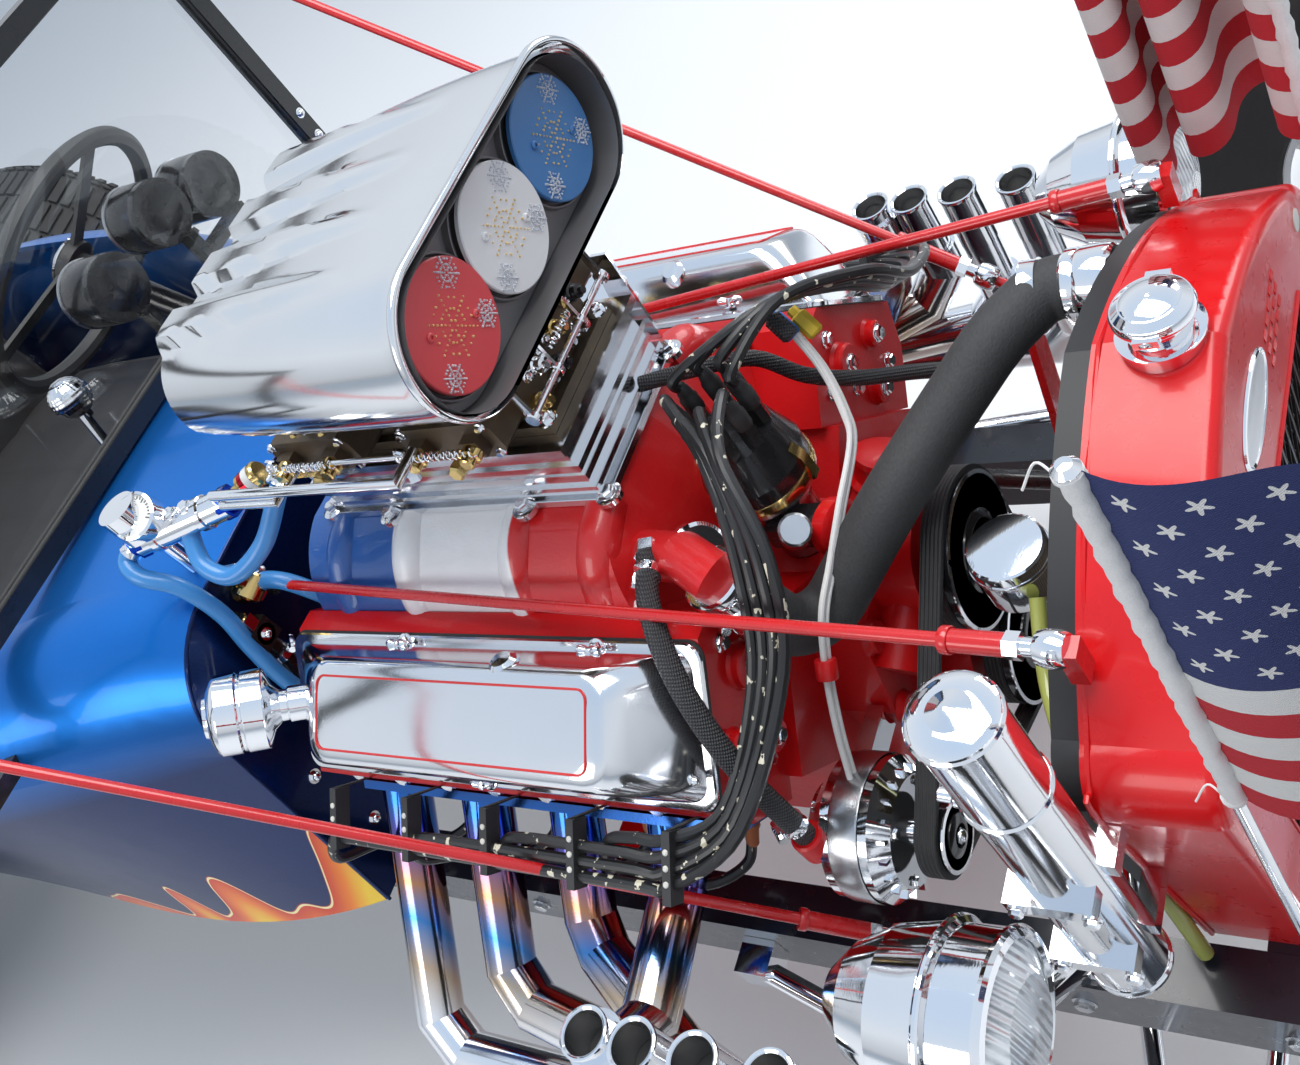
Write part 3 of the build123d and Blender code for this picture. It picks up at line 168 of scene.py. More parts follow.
def blend(share, first, second):
    """One colour passing into another as share goes from 0 to 1."""
    return Wire.node("Mix", {"data_type": "RGBA"}, {"Factor": share, 6: first, 7: second}, 2)


def relief(height, depth):
    """A bump; depth is its height in metres."""
    return Wire.node("Bump", {}, {"Height": height, "Strength": 1.0, "Distance": depth})


def start(name):
    """A new finish, whose nodes are made by the lines that follow."""
    made = bpy.data.materials.new(name)
    made.use_nodes = True
    Wire.tree = made.node_tree
    Wire.tree.nodes.clear()
    return made


def surface(**sockets):
    """Closes the finish with its shader; a socket's name has _ for each space."""
    shader = Wire.node("BsdfPrincipled", {},
                       {key.replace("_", " "): value for key, value in sockets.items()})
    Wire.node("OutputMaterial", {}, {"Surface": shader})


def clouded(name, clouds, rough, grain=None, **sockets):
    """A finish in two mottled shades. clouds gives the mottle and the shades, grain the mottle and
    the depth of the bump, and rough a value or a mottle with its spread and its least value."""
    made = start(name)
    *cloud, first, second = clouds
    if isinstance(rough, tuple):
        rough = mottle(rough[0]) * rough[1] + rough[2]
    if grain:
        sockets["Normal"] = relief(mottle(*grain[:-1]), grain[-1])
    surface(Base_Color=blend(mottle(*cloud), first, second), Roughness=rough, **sockets)
    return made


FLOOR_HALF = 30
FLOOR_PALE, FLOOR_BLOT = (0.80, 0.81, 0.82), (0.76, 0.77, 0.78)
floor_finish = clouded("studio_floor", (0.8, FLOOR_PALE, FLOOR_BLOT), 0.85)
floor_mesh = bpy.data.meshes.new("floor")
floor_mesh.from_pydata([(x * FLOOR_HALF, y * FLOOR_HALF, 0)
                        for x, y in ((-1, -1), (1, -1), (1, 1), (-1, 1))],
                       [], [(0, 1, 2, 3)])
floor_mesh.materials.append(floor_finish)
floor = bpy.data.objects.new("floor", floor_mesh)
scene.collection.objects.link(floor)

# colour of the room by height, from below the horizon up to the ceiling
ROOM_STOPS = [(0.0, (0.30, 0.31, 0.33)), (0.46, (0.36, 0.37, 0.39)), (0.52, (0.62, 0.66, 0.72)),
              (0.68, (0.86, 0.92, 1.0)), (1.0, (0.62, 0.78, 1.0))]
ROOM_FILL, ROOM_SEEN = 0.62, 0.92
room = bpy.data.worlds.new("studio_room")
room.use_nodes = True
scene.world = room
Wire.tree = room.node_tree
Wire.tree.nodes.clear()
aim = Wire.node("TexCoord", {}, {}, "Generated")
height = Wire.node("SeparateXYZ", {}, {0: aim}, "Z") * 0.5 + 0.5
walls = Wire.node("ValToRGB", {"stops": ROOM_STOPS}, {"Fac": height})
ray = Wire.node("LightPath", {}, {}, "Is Camera Ray")
pale = Wire.node("Background", {}, {"Color": (0.93, 0.94, 0.95), "Strength": ROOM_SEEN})
lit = Wire.node("Background", {}, {"Color": walls, "Strength": ROOM_FILL})
mirrored_ray = Wire.node("LightPath", {}, {}, "Is Glossy Ray").math(
    "MAXIMUM", Wire.node("LightPath", {}, {}, "Is Transmission Ray"))
shown = Wire.node("Background", {}, {"Color": walls, "Strength": ROOM_SEEN})
indoor = Wire.node("MixShader", {}, {"Fac": mirrored_ray, 1: lit, 2: shown})
Wire.node("OutputWorld", {}, {"Surface": Wire.node("MixShader", {}, {"Fac": ray, 1: indoor, 2: pale})})

# name, place, where it points, size, watts, colour
for name, place, aim_at, size, watts, colour in (
        ("overhead", (0.9, 0.6, 4.2), (0.6, 0.0, 0.6), (3.2, 2.2), 150, (1.0, 0.98, 0.95)),
        ("left_fill", (1.6, 4.0, 2.2), (0.6, 0.0, 0.6), (2.4, 1.6), 60, (0.94, 0.97, 1.0)),
        ("right_fill", (-0.8, -4.0, 2.6), (0.2, 0.0, 0.5), (2.6, 1.6), 55, (1.0, 0.98, 0.96))):
    lamp = bpy.data.lights.new(name, "AREA")
    lamp.shape, lamp.size, lamp.size_y = "RECTANGLE", *size
    lamp.energy, lamp.color = watts, colour
    holder = bpy.data.objects.new(name, lamp)
    holder.location = place
    holder.rotation_euler = (Vector(aim_at) - Vector(place)).to_track_quat("-Z", "Y").to_euler()
    scene.collection.objects.link(holder)


# The air scoop is a polished aluminium casting: a wide slot-shaped mouth with a rolled lip, a body
# that draws in towards its stepped rear, and four flutes that stand proud at the rear and fade
# into the top. Behind the mouth a dark plate carries three round throttle plates.
FORE, AFT, UP = (1, 0, 0), (-1, 0, 0), (0, 0, 1)
# what stands for a radius of nought
POINT_R = 0.02


def sides(axis):
    """Two unit directions square to an axis and to each other."""
    side = axis.orthogonal().normalized()
    return side, axis.cross(side)


def spaced(count, first=0.0):
    """The angles of things set evenly round a circle."""
    return [2 * pi * k / count + first for k in range(count)]


class Shape:
    """A piece being made: its points in millimetres, its faces and the finish that each takes."""

    def __init__(self):
        self.points, self.faces, self.kinds = [], [], []

    def add(self, points, faces, kind=0):
        first = len(self.points)
        self.points += [Vector(p) for p in points]
        self.faces += [tuple(first + i for i in face) for face in faces]
        self.kinds += [kind] * len(faces)

    def skin(self, rings, kind=0, ends=True):
        """Quads from ring to ring; ends closes the first and the last."""
        n = len(rings[0])
        faces = [(k * n + i, k * n + (i + 1) % n, (k + 1) * n + (i + 1) % n, (k + 1) * n + i)
                 for k in range(len(rings) - 1) for i in range(n)]
        if ends:
            faces += [tuple(reversed(range(n))), tuple(range((len(rings) - 1) * n, len(rings) * n))]
        self.add([p for ring in rings for p in ring], faces, kind)

    def turned(self, profile, foot, axis, kind=0, steps=36, ends=True):
        """Pairs of radius and height, turned about an axis that starts at foot."""
        axis = Vector(axis).normalized()
        side, other = sides(axis)
        self.skin([[Vector(foot) + axis * height + (side * cos(a) + other * sin(a)) * max(r, POINT_R)
                    for a in spaced(steps)]
                   for r, height in profile], kind, ends)

    def tube(self, route, r, kind=0, steps=12, ends=True, widths=None):
        """A round bar along a list of close points; widths scales its radius at each."""
        route = [Vector(p) for p in route]
        side, rings = None, []
        for k, point in enumerate(route):
            along = (route[min(k + 1, len(route) - 1)] - route[max(k - 1, 0)]).normalized()
            side = along.orthogonal() if side is None else side - along * side.dot(along)
            side.normalize()
            other = along.cross(side)
            reach = r * (widths[k] if widths else 1)
            rings.append([point + (side * cos(a) + other * sin(a)) * reach for a in spaced(steps)])
        self.skin(rings, kind, ends)

    def prism(self, outline, run, kind=0):
        """A flat outline of points carried along a run."""
        self.skin([outline, [Vector(p) + Vector(run) for p in outline]], kind)

    def box(self, low, high, kind=0):
        (x0, y0, z0), (x1, y1, z1) = low, high
        self.prism([(x0, y0, z0), (x1, y0, z0), (x1, y1, z0), (x0, y1, z0)], (0, 0, z1 - z0), kind)

    def mirrored(self):
        """Adds the same again on the other side of the car."""
        self.add([(p.x, -p.y, p.z) for p in self.points], [tuple(reversed(f)) for f in self.faces])
        self.kinds[len(self.kinds) // 2:] = self.kinds[:len(self.kinds) // 2]

    def piece(self, name, finishes, slot, body="root", replaces=(), crease=32, bevel=0):
        """The finished object, on its body; slot is not used; bevel is in millimetres."""
        data = bpy.data.meshes.new(name)
        data.from_pydata([at(*p) for p in self.points], [], self.faces)
        data.polygons.foreach_set("material_index", self.kinds)
        for finish in finishes:
            data.materials.append(finish)
        work = bmesh.new()
        work.from_mesh(data)
        bmesh.ops.remove_doubles(work, verts=work.verts, dist=0.00001)
        bmesh.ops.recalc_face_normals(work, faces=work.faces)
        work.to_mesh(data)
        work.free()
        data.shade_smooth()
        data.set_sharp_from_angle(angle=radians(crease))
        made = bpy.data.objects.new(name, data)
        scene.collection.objects.link(made)
        if bevel:
            edge = made.modifiers.new("edge", "BEVEL")
            edge.width, edge.segments, edge.limit_method = bevel / 1000, 2, "ANGLE"
            edge.angle_limit, edge.harden_normals = radians(crease), True
        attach(made, body)
        if replaces:
            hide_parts(*replaces)
        return made


def polished(name, colour, rough, cloud=0.05, grain=0.00002):
    """Bright hand-polished metal: faint clouds, fine wheel marks and small changes of gloss."""
    made = start(name)
    marks = mottle(900, 2.0, (1.0, 0.12, 1.0))
    haze = mottle(9)
    tint = blend(haze, colour, tuple(c * (1 - 2 * cloud) for c in colour))
    surface(Base_Color=tint, Metallic=1.0, Roughness=haze * rough + rough * 0.6,
            Normal=relief(marks, grain))
    return made


SCOOP_REAR, SCOOP_FRONT = 135, 438
SCOOP_FLOOR, SCOOP_ROOF = 500.3, 624.3
MOUTH_HALF, LIP_R, SCOOP_WALL = 165, 4.5, 5
FLUTES = (-93, -31, 31, 93)
FLUTE_LENGTH, FLUTE_HEIGHT, FLUTE_HALF = 215, 11, 20
RING_STEPS = 144

scoop_alloy = polished("scoop_alloy", (0.86, 0.87, 0.88), 0.09)
slot_grey = clouded("scoop_inside", (14, (0.24, 0.235, 0.24), (0.17, 0.165, 0.17)), (30, 0.2, 0.32),
                    Metallic=0.55)


def slot_ring(x, half_w, low, high, rise=None):
    """An upright slot outline, counted from the middle of its floor; rise lifts points of its roof."""
    r = (high - low) / 2
    middle, straight = (low + high) / 2, half_w - r
    length = 4 * straight + 2 * pi * r
    ring = []
    for i in range(RING_STEPS):
        s = length * i / RING_STEPS
        side = 1 if s < length / 2 else -1
        s = min(s, length - s)
        if s < straight:
            y, z = s, low
        elif s < straight + pi * r:
            a = (s - straight) / r
            y, z = straight + r * sin(a), middle - r * cos(a)
        else:
            y, z = 2 * straight + pi * r - s, high
        y *= side
        ring.append((x, y, z + (rise(x, y) if rise and z > middle + r * 0.6 else 0)))
    return ring


def flute(x, y):
    """Height of the flutes above the roof."""
    fade = min(max(1 - (x - SCOOP_REAR) / FLUTE_LENGTH, 0), 1)
    off = min(abs(y - centre) for centre in FLUTES)
    width = FLUTE_HALF * (0.35 + 0.65 * fade)
    edge = min(max((width - off) / 5 + 0.5, 0), 1)
    return FLUTE_HEIGHT * fade ** 0.8 * edge * edge * (3 - 2 * edge)


def hull(x):
    """Narrowing of the sides and drop of the roof behind the mouth."""
    back = (SCOOP_FRONT - x) / (SCOOP_FRONT - SCOOP_REAR)
    return 17 * back ** 2.2, 24 * back ** 1.8


scoop = Shape()
rings = []
for k in range(25):
    x = SCOOP_REAR + (SCOOP_FRONT - 10 - SCOOP_REAR) * k / 24
    narrow, drop = hull(x)
    rings.append(slot_ring(x, MOUTH_HALF - narrow, SCOOP_FLOOR, SCOOP_ROOF - drop, flute))
LIP_TURNS = 10
for k in range(LIP_TURNS + 1):
    # the lip rolls outwards, forwards and back into the mouth
    a = pi * (1.15 - 1.35 * k / LIP_TURNS)
    out = LIP_R * (1 + sin(a)) - SCOOP_WALL * k / LIP_TURNS * 0.9
    x = SCOOP_FRONT - LIP_R - LIP_R * cos(a)
    rings.append(slot_ring(x, MOUTH_HALF + out - 1, SCOOP_FLOOR, SCOOP_ROOF + out))
scoop.skin(rings, ends=False)
scoop.faces.append(tuple(reversed(range(RING_STEPS))))
scoop.kinds.append(0)
scoop.skin([slot_ring(x, MOUTH_HALF - SCOOP_WALL, SCOOP_FLOOR + SCOOP_WALL * 0.5, SCOOP_ROOF - SCOOP_WALL)
            for x in (SCOOP_FRONT - 2, SCOOP_FRONT - 34)], kind=1, ends=False)
scoop.piece("scoop_shell", [scoop_alloy, slot_grey], "polished_alloy", replaces=["intake_scoop"])

# The throttle plates are enamelled discs on one shaft, red, white and blue, each with two small
# screws and glued glitter; the plate behind them has a rounded hole for each.
PLATE_X, PLATE_Z, PLATE_R, PLATE_PITCH = 416, 562.3, 49, 97
PLATE_COLOURS = {"near": (-1, (0.74, 0.07, 0.08)), "middle": (0, (0.84, 0.85, 0.86)),
                 "far": (1, (0.05, 0.20, 0.48))}

backing = Shape()
outer = slot_ring(PLATE_X - 12, MOUTH_HALF - SCOOP_WALL - 0.5, SCOOP_FLOOR + 3, SCOOP_ROOF - SCOOP_WALL)
backing.prism(outer, (4, 0, 0))
for k in (-1, 0, 1):
    backing.turned([(PLATE_R + 5, 0), (PLATE_R + 4, 6), (PLATE_R + 2, 6), (PLATE_R + 1, 0)],
                   (PLATE_X - 8, k * PLATE_PITCH, PLATE_Z), FORE, ends=False, steps=48)
backing.piece("scoop_backing", [slot_grey], "polished_alloy", bevel=0.6)

GLITTER = (1800, 1.0, 0.0006)
glitter_gold = clouded("glitter_gold", (1400, 1.0, (0.75, 0.45, 0.12), (0.95, 0.78, 0.42)), 0.35, GLITTER,
                       Metallic=0.8)
glitter_silver = clouded("glitter_silver", (1400, 1.0, (0.50, 0.52, 0.56), (0.95, 0.96, 1.0)), 0.3, GLITTER,
                         Metallic=0.8)


def frost_star(shape, y, z, reach, kind, dice):
    """Six arms of glitter grains with side branches, like a snow crystal."""
    x = PLATE_X + 5
    for a in spaced(6, 0.2):
        for step in range(1, 7):
            for side in (0, -1, 1) if step in (3, 5) else (0,):
                r = reach * step / 6
                swing = a + side * 0.38
                grain = 0.7 + 0.5 * dice.random()
                shape.turned([(grain, 0), (grain * 0.8, 1.0), (0, 1.4)],
                             (x, y + r * cos(swing), z + r * sin(swing)), FORE, kind, steps=5)


dice = Random(4)
for name, (k, colour) in PLATE_COLOURS.items():
    paint = clouded(f"plate_enamel_{name}", (25, colour, tuple(c * 0.88 for c in colour)), 0.42,
                    (300, 0.00004),
                    Coat_Weight=0.35, Coat_Roughness=0.2)
    y = k * PLATE_PITCH
    disc = Shape()
    disc.turned([(PLATE_R - 1, 0), (PLATE_R, 0.8), (PLATE_R, 4.2), (PLATE_R - 1, 5)], (PLATE_X, y, PLATE_Z),
                FORE, steps=64)
    for side in (-1, 1):
        screw = (PLATE_X + 4.5, y - side * 22, PLATE_Z + side * 12)
        disc.turned([(3.6, 0), (3.6, 1.6), (2.6, 2.6), (1.5, 2.6), (1.5, 1.2)], screw, FORE, steps=16)
    for dy, dz, reach in ((-30, -22, 11), (26, 26, 12), (30, -20, 11)):
        frost_star(disc, y + dy, PLATE_Z + dz, reach, 1, dice)
    frost_star(disc, y, PLATE_Z, 24, 2, dice)
    disc.piece(f"throttle_plate_{name}", [paint, glitter_silver, glitter_gold], "colour_plates",
               replaces=["scoop_plates"] if k == 0 else ())


# The vee engine's block, heads and front cover are iron castings in gloss red enamel, with a fine
# sand skin under the paint and bright hexagon bolts along each joint.
def refinish(finish, *nodes):
    """Gives pieces of the frame their finish."""
    for node in nodes:
        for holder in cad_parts[node].material_slots:
            holder.material = finish


def drawn(axis):
    """The shaded point's place along one axis of the drawing, in millimetres."""
    origin = {"X": BLOCK_REAR, "Y": 0.0, "Z": CRANK_HEIGHT}[axis]
    return (where(axis) - origin) * 1000


def enamel(name, colour, rough=0.28, coat=0.5, peel=0.00008, grit=420):
    """Sprayed gloss paint: faint clouds of shade, uneven polish and orange peel."""
    return clouded(name, (16, colour, tuple(c * 0.78 for c in colour)), (55, 0.14, rough),
                   (grit, 2.0, peel),
                   Specular_IOR_Level=0.35, Coat_Weight=coat, Coat_Roughness=0.08)


def moulded(name, colour, rough=0.5, grit=900, depth=0.00008):
    """Dull moulded rubber or plastic with a fine grain and a little bloom."""
    return clouded(name, (24, colour, tuple(c * 1.25 + 0.012 for c in colour)), (40, 0.2, rough),
                   (grit, 3.0, depth))


def bank(t, a):
    """Y and Z on the left cylinder bank: t outboard across it, a along the bores."""
    return ((a + t) / sqrt(2), (a - t) / sqrt(2))


def curved(points, per=7):
    """A smooth run through given points."""
    points = [Vector(p) for p in points]
    ends = [points[0] * 2 - points[1]] + points + [points[-1] * 2 - points[-2]]
    run = []
    for p0, p1, p2, p3 in zip(ends, ends[1:], ends[2:], ends[3:]):
        for k in range(per):
            u = k / per
            run.append(0.5 * (2 * p1 + (p2 - p0) * u + (2 * p0 - 5 * p1 + 4 * p2 - p3) * u * u
                              + (3 * p1 - p0 - 3 * p2 + p3) * u ** 3))
    return run + [points[-1]]


def bolt(shape, foot, axis, r=7, height=5.5, kind=0):
    """A hexagon head with a chamfered crown on a round washer."""
    shape.turned([(r * 1.3, -0.5), (r * 1.3, 1.1), (r * 1.2, 1.4)], foot, axis, kind, steps=16)
    shape.turned([(r, 1), (r, height), (r * 0.82, height + 1.2)], foot, axis, kind, steps=6)


def dome_nut(shape, foot, axis, r=8, kind=0):
    """A closed nut with a round top on a washer."""
    shape.turned([(r * 1.35, -0.5), (r * 1.35, 1.2)], foot, axis, kind, steps=18)
    shape.turned([(r, 1), (r, r * 0.7)], foot, axis, kind, steps=6)
    shape.turned([(r * 0.86, r * 0.6)] + [(r * 0.86 * cos(a), r * (0.7 + 0.75 * sin(a)))
                                          for a in (0, 0.35, 0.7, 1.05, 1.35)], foot, axis, kind, steps=18)


RED = (0.66, 0.004, 0.006)
engine_red = enamel("engine_red", RED, 0.34, 0.22, 0.00025, 320)
chrome = polished("chrome", (0.90, 0.91, 0.93), 0.05, 0.03)
steel = polished("bright_steel", (0.62, 0.63, 0.65), 0.22, 0.12, 0.00006)
refinish(engine_red, "engine_block", "cylinder_heads", "timing_cover")

DECK_A, HEAD_OUT, BLOCK_LEN = 208, 95, 500
BORE_X, BORE_PITCH = 58, 111.25
# the spark plugs stand ahead of their bores, low on the heads' outer faces
PLUG_X, PLUG_A = [BORE_X + 56 + k * BORE_PITCH for k in range(4)], DECK_A + 8
ACROSS, UP_BORES = (0, 1, -1), (0, 1, 1)
hardware = Shape()
for x in range(30, 480, 62):
    bolt(hardware, (x, *bank(HEAD_OUT - 11, DECK_A + 74)), (0, 1, 0.16), 7.5)
for x in PLUG_X:
    hardware.turned([(15, -1), (15, 2), (11, 3.5)], (x, *bank(HEAD_OUT, PLUG_A)), ACROSS, steps=24)
for t, a in ((-60, 30), (-10, 30), (50, 30), (-60, 78), (60, 50)):
    bolt(hardware, (BLOCK_LEN - 12, *bank(t, DECK_A + a)), FORE, 6.5)
hardware.mirrored()
COVER_FACE = 552.3
castings = Shape()
COVER_BOLTS = [(side * y, z) for y, z in ((92, -58), (106, 52), (86, 134)) for side in (-1, 1)] + [(0, -62)]
BOSS_SIZES = ((12, 7), (12, 7), (13, 7), (13, 7), (14, 8), (14, 8), (12, 7))
COVER_BOSSES = [(*place, *size) for place, size in zip(COVER_BOLTS, BOSS_SIZES)]
COVER_BOSSES += [(side * y, z, r, height) for y, z, r, height in ((62, 100, 22, 12), (70, 20, 16, 9))
                 for side in (-1, 1)]
for y, z, r, height in COVER_BOSSES:
    castings.turned([(r + 3, -1), (r, 3), (r, height - 1.5), (r - 1.5, height)], (COVER_FACE, y, z), FORE,
                    steps=28)
for y in (-84, -48, 48, 84):
    castings.prism([(COVER_FACE + out, y + half, -40)
                    for out, half in ((-1, -3), (-1, 3), (6, 2), (6, -2))], (0, -y * 0.25, 150))
for side in (-1, 1):
    # the heads' water passages and lifting bosses at their front ends
    for t, a, r in ((-36, 54, 19), (30, 26, 15), (24, 78, 13)):
        y, z = bank(t, DECK_A + a)
        castings.turned([(r + 3, -1), (r, 3), (r, 9), (r - 2, 11)], (BLOCK_LEN - 12, side * y, z), FORE,
                        steps=28)
        bolt(castings, (BLOCK_LEN - 2, side * y, z), FORE, 7, 5, 1)
    for x in range(60, 480, 84):
        castings.turned([(12, -1), (10, 6), (10, 10), (8, 12)], (x, side * 150, 18), (0, side, 0.4),
                        steps=24)
castings.turned([(30, 0), (26, 6), (26, 22), (30, 24), (30, 30), (24, 33)], (BLOCK_LEN + 30, 66, 150),
                (0.4, 0.5, 1), steps=40)
castings.piece("engine_castings", [engine_red, chrome], "engine_iron")
for y, z in COVER_BOLTS + [(-100, 0), (100, 0)]:
    bolt(hardware, (COVER_FACE, y, z), FORE, 7)
hardware.piece("engine_bolts", [chrome], "chrome")

# The pulleys are turned steel in gloss black with polished faces, and one ribbed rubber belt
# runs round the crankshaft's, the water pump's and the alternator's.
BELT_X = 608
PULLEYS = ((0, 0, 62, 26), (0, 135, 68, 32), (-222, 60, 30, 14))
pulley_black = enamel("pulley_black", (0.012, 0.012, 0.014), 0.12, 0.8, 0.00002)
belt_rubber = start("belt_rubber")
ribs = (drawn("X") * (2 * pi / 3.56)).math("SINE")
surface(Base_Color=blend(mottle(60), (0.016, 0.016, 0.017), (0.035, 0.035, 0.036)), Roughness=0.62,
        Normal=relief(ribs, 0.0006))
refinish(belt_rubber, "pulleys")
faces = Shape()
for y, z, r, hub in PULLEYS:
    faces.turned([(r - 1, 0), (r - 1, 14), (r - 4, 15), (r - 8, 14), (r - 9, 11), (hub + 6, 9),
                  (hub + 4, 17),
                  (hub - 2, 19), (hub - 4, 19), (hub - 5, 15), (0, 15)], (BELT_X + 8, y, z), FORE, steps=56)
    faces.turned([(r + 0.6, 15.4), (r + 0.6, 16.6), (r - 3, 17), (r - 3, 15.4)], (BELT_X + 8, y, z), FORE,
                 1, steps=56)
    for a in spaced(5, 0.3) if r > 40 else ():
        bolt(faces, (BELT_X + 17.5, y + (hub - 12) * cos(a), z + (hub - 12) * sin(a)), FORE, 4.5, 4, 1)
    dome_nut(faces, (BELT_X + 22, y, z), FORE, 9 if r > 40 else 7, 1)
faces.piece("pulley_faces", [pulley_black, chrome], "black_paint")

# The alternator has two finned end frames of polished alloy round a bright stator band.
ALT_Y, ALT_Z, ALT_REAR = -222, 60, BELT_X - 82
refinish(chrome, "alternator")
fins = Shape()
fins.turned([(61, 22), (61.5, 24), (61.5, 46), (61, 48)], (ALT_REAR, ALT_Y, ALT_Z), FORE, 1, steps=48,
            ends=False)
for a in spaced(20):
    u, v = cos(a), sin(a)
    for x, run, near, far in ((ALT_REAR + 8, -9, 24, 43), (ALT_REAR + 60, 9, 26, 54)):
        fins.prism([(x, ALT_Y + u * r - v * w, ALT_Z + v * r + u * w)
                    for r, w in ((near, -1.4), (far, -1.4), (far, 1.4), (near, 1.4))], (run, 0, 0))
fins.turned([(17, 0), (17, 9), (13, 12), (0, 12)], (ALT_REAR - 8, ALT_Y, ALT_Z), AFT, steps=24)
for a in spaced(4, 0.5):
    bolt(fins, (ALT_REAR + 69, ALT_Y + 40 * cos(a), ALT_Z + 40 * sin(a)), FORE, 4.5, 4)
fins.piece("alternator_fins", [chrome, steel], "chrome")

# The intake manifold is painted in three bands across it, blue at the rear, white, and red in
# front; the plenum on it is a polished casting.
MANIFOLD_RED, MANIFOLD_WHITE, MANIFOLD_BLUE = (0.66, 0.008, 0.01), (0.86, 0.88, 0.90), (0.006, 0.09, 0.36)
BLUE_TO, WHITE_TO = 148, 302
manifold_bands = start("manifold_bands")
length = drawn("X")
band = blend(length.between(BLUE_TO - 1, BLUE_TO + 1), MANIFOLD_BLUE, MANIFOLD_WHITE)
band = blend(length.between(WHITE_TO - 1, WHITE_TO + 1), band, MANIFOLD_RED)
surface(Base_Color=blend(mottle(30) * 0.12, band, (0.10, 0.08, 0.08)), Roughness=mottle(50) * 0.15 + 0.3,
        Coat_Weight=0.4, Normal=relief(mottle(380, 3.0), 0.0003))
refinish(manifold_bands, "intake_manifold")
plenum_alloy = polished("plenum_alloy", (0.80, 0.81, 0.83), 0.12, 0.06)
refinish(plenum_alloy, "plenum")
runners = Shape()
for x in (76, 168, 300, 388):
    for side in (-1, 1):
        route = curved([(x + dx, side * y, z)
                        for dx, y, z in ((0, 74, 322), (0, 104, 314), (-3, 122, 296), (-5, 134, 268),
                                                               (-6, 138, 236))])
        runners.tube(route, 22, steps=20,
                     widths=[0.8 + 0.25 * k / (len(route) - 1) for k in range(len(route))])
runners.piece("manifold_runners", [manifold_bands], "manifold")
feet = Shape()
for x, y in [(x, side * y) for x, y in ((64, 78), (402, 78), (150, 88), (315, 88)) for side in (-1, 1)]:
    feet.turned([(12, 0), (12, 5), (9, 6.5)], (x, y, 334), UP, steps=20)
    bolt(feet, (x, y, 340), UP, 6.5)
for x in range(52, 420, 61):
    for side in (-1, 1):
        bolt(feet, (x, side * 142, 268), (0, side * 0.3, 1), 6.5)
# flanges of the coolant elbow
feet.turned([(27, 0), (27, 8), (24, 10)], (468, -104, 287), (30, -12, 13), 1, steps=32)
feet.turned([(26, 0), (27, 3), (27, 12), (25, 14)], (514.6, -141, 300.5), (-13, -16, 100), 1, steps=32)
feet.piece("plenum_feet", [plenum_alloy, chrome], "polished_alloy")

# The two carburetors are dull bronze castings with brass fittings, black choke caps, chrome
# linkage and small screws; a slotted bright bracket stands beside them for the cables.
bronze = clouded("carb_bronze", (45, (0.17, 0.125, 0.075), (0.075, 0.06, 0.05)), (45, 0.2, 0.36),
                 (520, 0.0002), Metallic=0.75)
brass = polished("brass", (0.78, 0.56, 0.22), 0.16, 0.12)
gloss_black = enamel("gloss_black", (0.014, 0.014, 0.015), 0.2, 0.5, 0.00003)
refinish(bronze, "carburetors")
CARB_X, CARB_BASE = (150, 315), 404
small = Shape()
for x in CARB_X:
    for side in (-1, 1):
        for dx, dz in ((-44, 20), (44, 20), (-44, 50), (44, 50)):
            bolt(small, (x + dx, side * 96, CARB_BASE + dz), (0, side, 0), 3.6, 3.5, 1)
        for dx in (-30, 30):
            small.turned([(9, 0), (9, 9), (6.5, 10), (6.5, 16), (5, 17)],
                         (x + dx, side * 104, CARB_BASE + 34),
                         (0, side, 0), steps=20)
        small.turned([(8, 0), (8, 20), (6, 22)], (x + 8, side * 98, CARB_BASE + 20), (0, side, 0.1),
                     steps=6)
        for dx in (-66, 66):
            dome_nut(small, (x + dx, side * 58, CARB_BASE + 10), UP, 7, 1)
    for a in spaced(6, 0.3):
        bolt(small, (x + 70 * cos(a) * 0.95, 70 * sin(a) * 0.78, CARB_BASE + 56), UP, 3.4, 3, 1)
    # choke cap, throttle lever and its return spring
    small.turned([(19, 0), (21, 2), (21, 10), (18, 14), (8, 15)], (x - 36, 66, CARB_BASE + 70), (0, 1, 0.2),
                 2, steps=28)
    small.tube([(x - 60, -70, CARB_BASE + 12), (x - 62, -104, CARB_BASE + 12),
                (x - 62, -108, CARB_BASE + 12)], 4, 1)
    small.prism([(x - 66, -106, CARB_BASE + 2), (x - 52, -106, CARB_BASE + 6),
                 (x - 40, -106, CARB_BASE + 44),
                 (x - 50, -106, CARB_BASE + 46)], (0, -3, 0), 1)
    dome_nut(small, (x - 45, -109, CARB_BASE + 40), (0, -1, 0), 5, 1)
    small.tube([(x - 45 + 84 * k / 96, -113 + 3.6 * cos(k * 0.9), CARB_BASE + 40 + 3.6 * sin(k * 0.9))
                for k in range(97)], 0.9, 1, steps=6)
    for step, (dx, dz, r) in enumerate(((-16, 46, 7), (4, 50, 5), (22, 44, 8), (40, 34, 6))):
        # needle and seat, idle screws and vent plugs over each bowl
        for side in (-1, 1):
            small.turned([(r, -3), (r, 4), (r * 0.7, 5), (r * 0.7, 9 + step), (r * 0.4, 11 + step)],
                         (x + dx, side * 84, CARB_BASE + dz),
                         (0, side * 0.5, 1), step % 2, steps=(6, 16)[step % 2])
small.tube([(CARB_X[0] - 45, -111, CARB_BASE + 40), (CARB_X[1] - 45, -111, CARB_BASE + 40)], 2.6, 1)
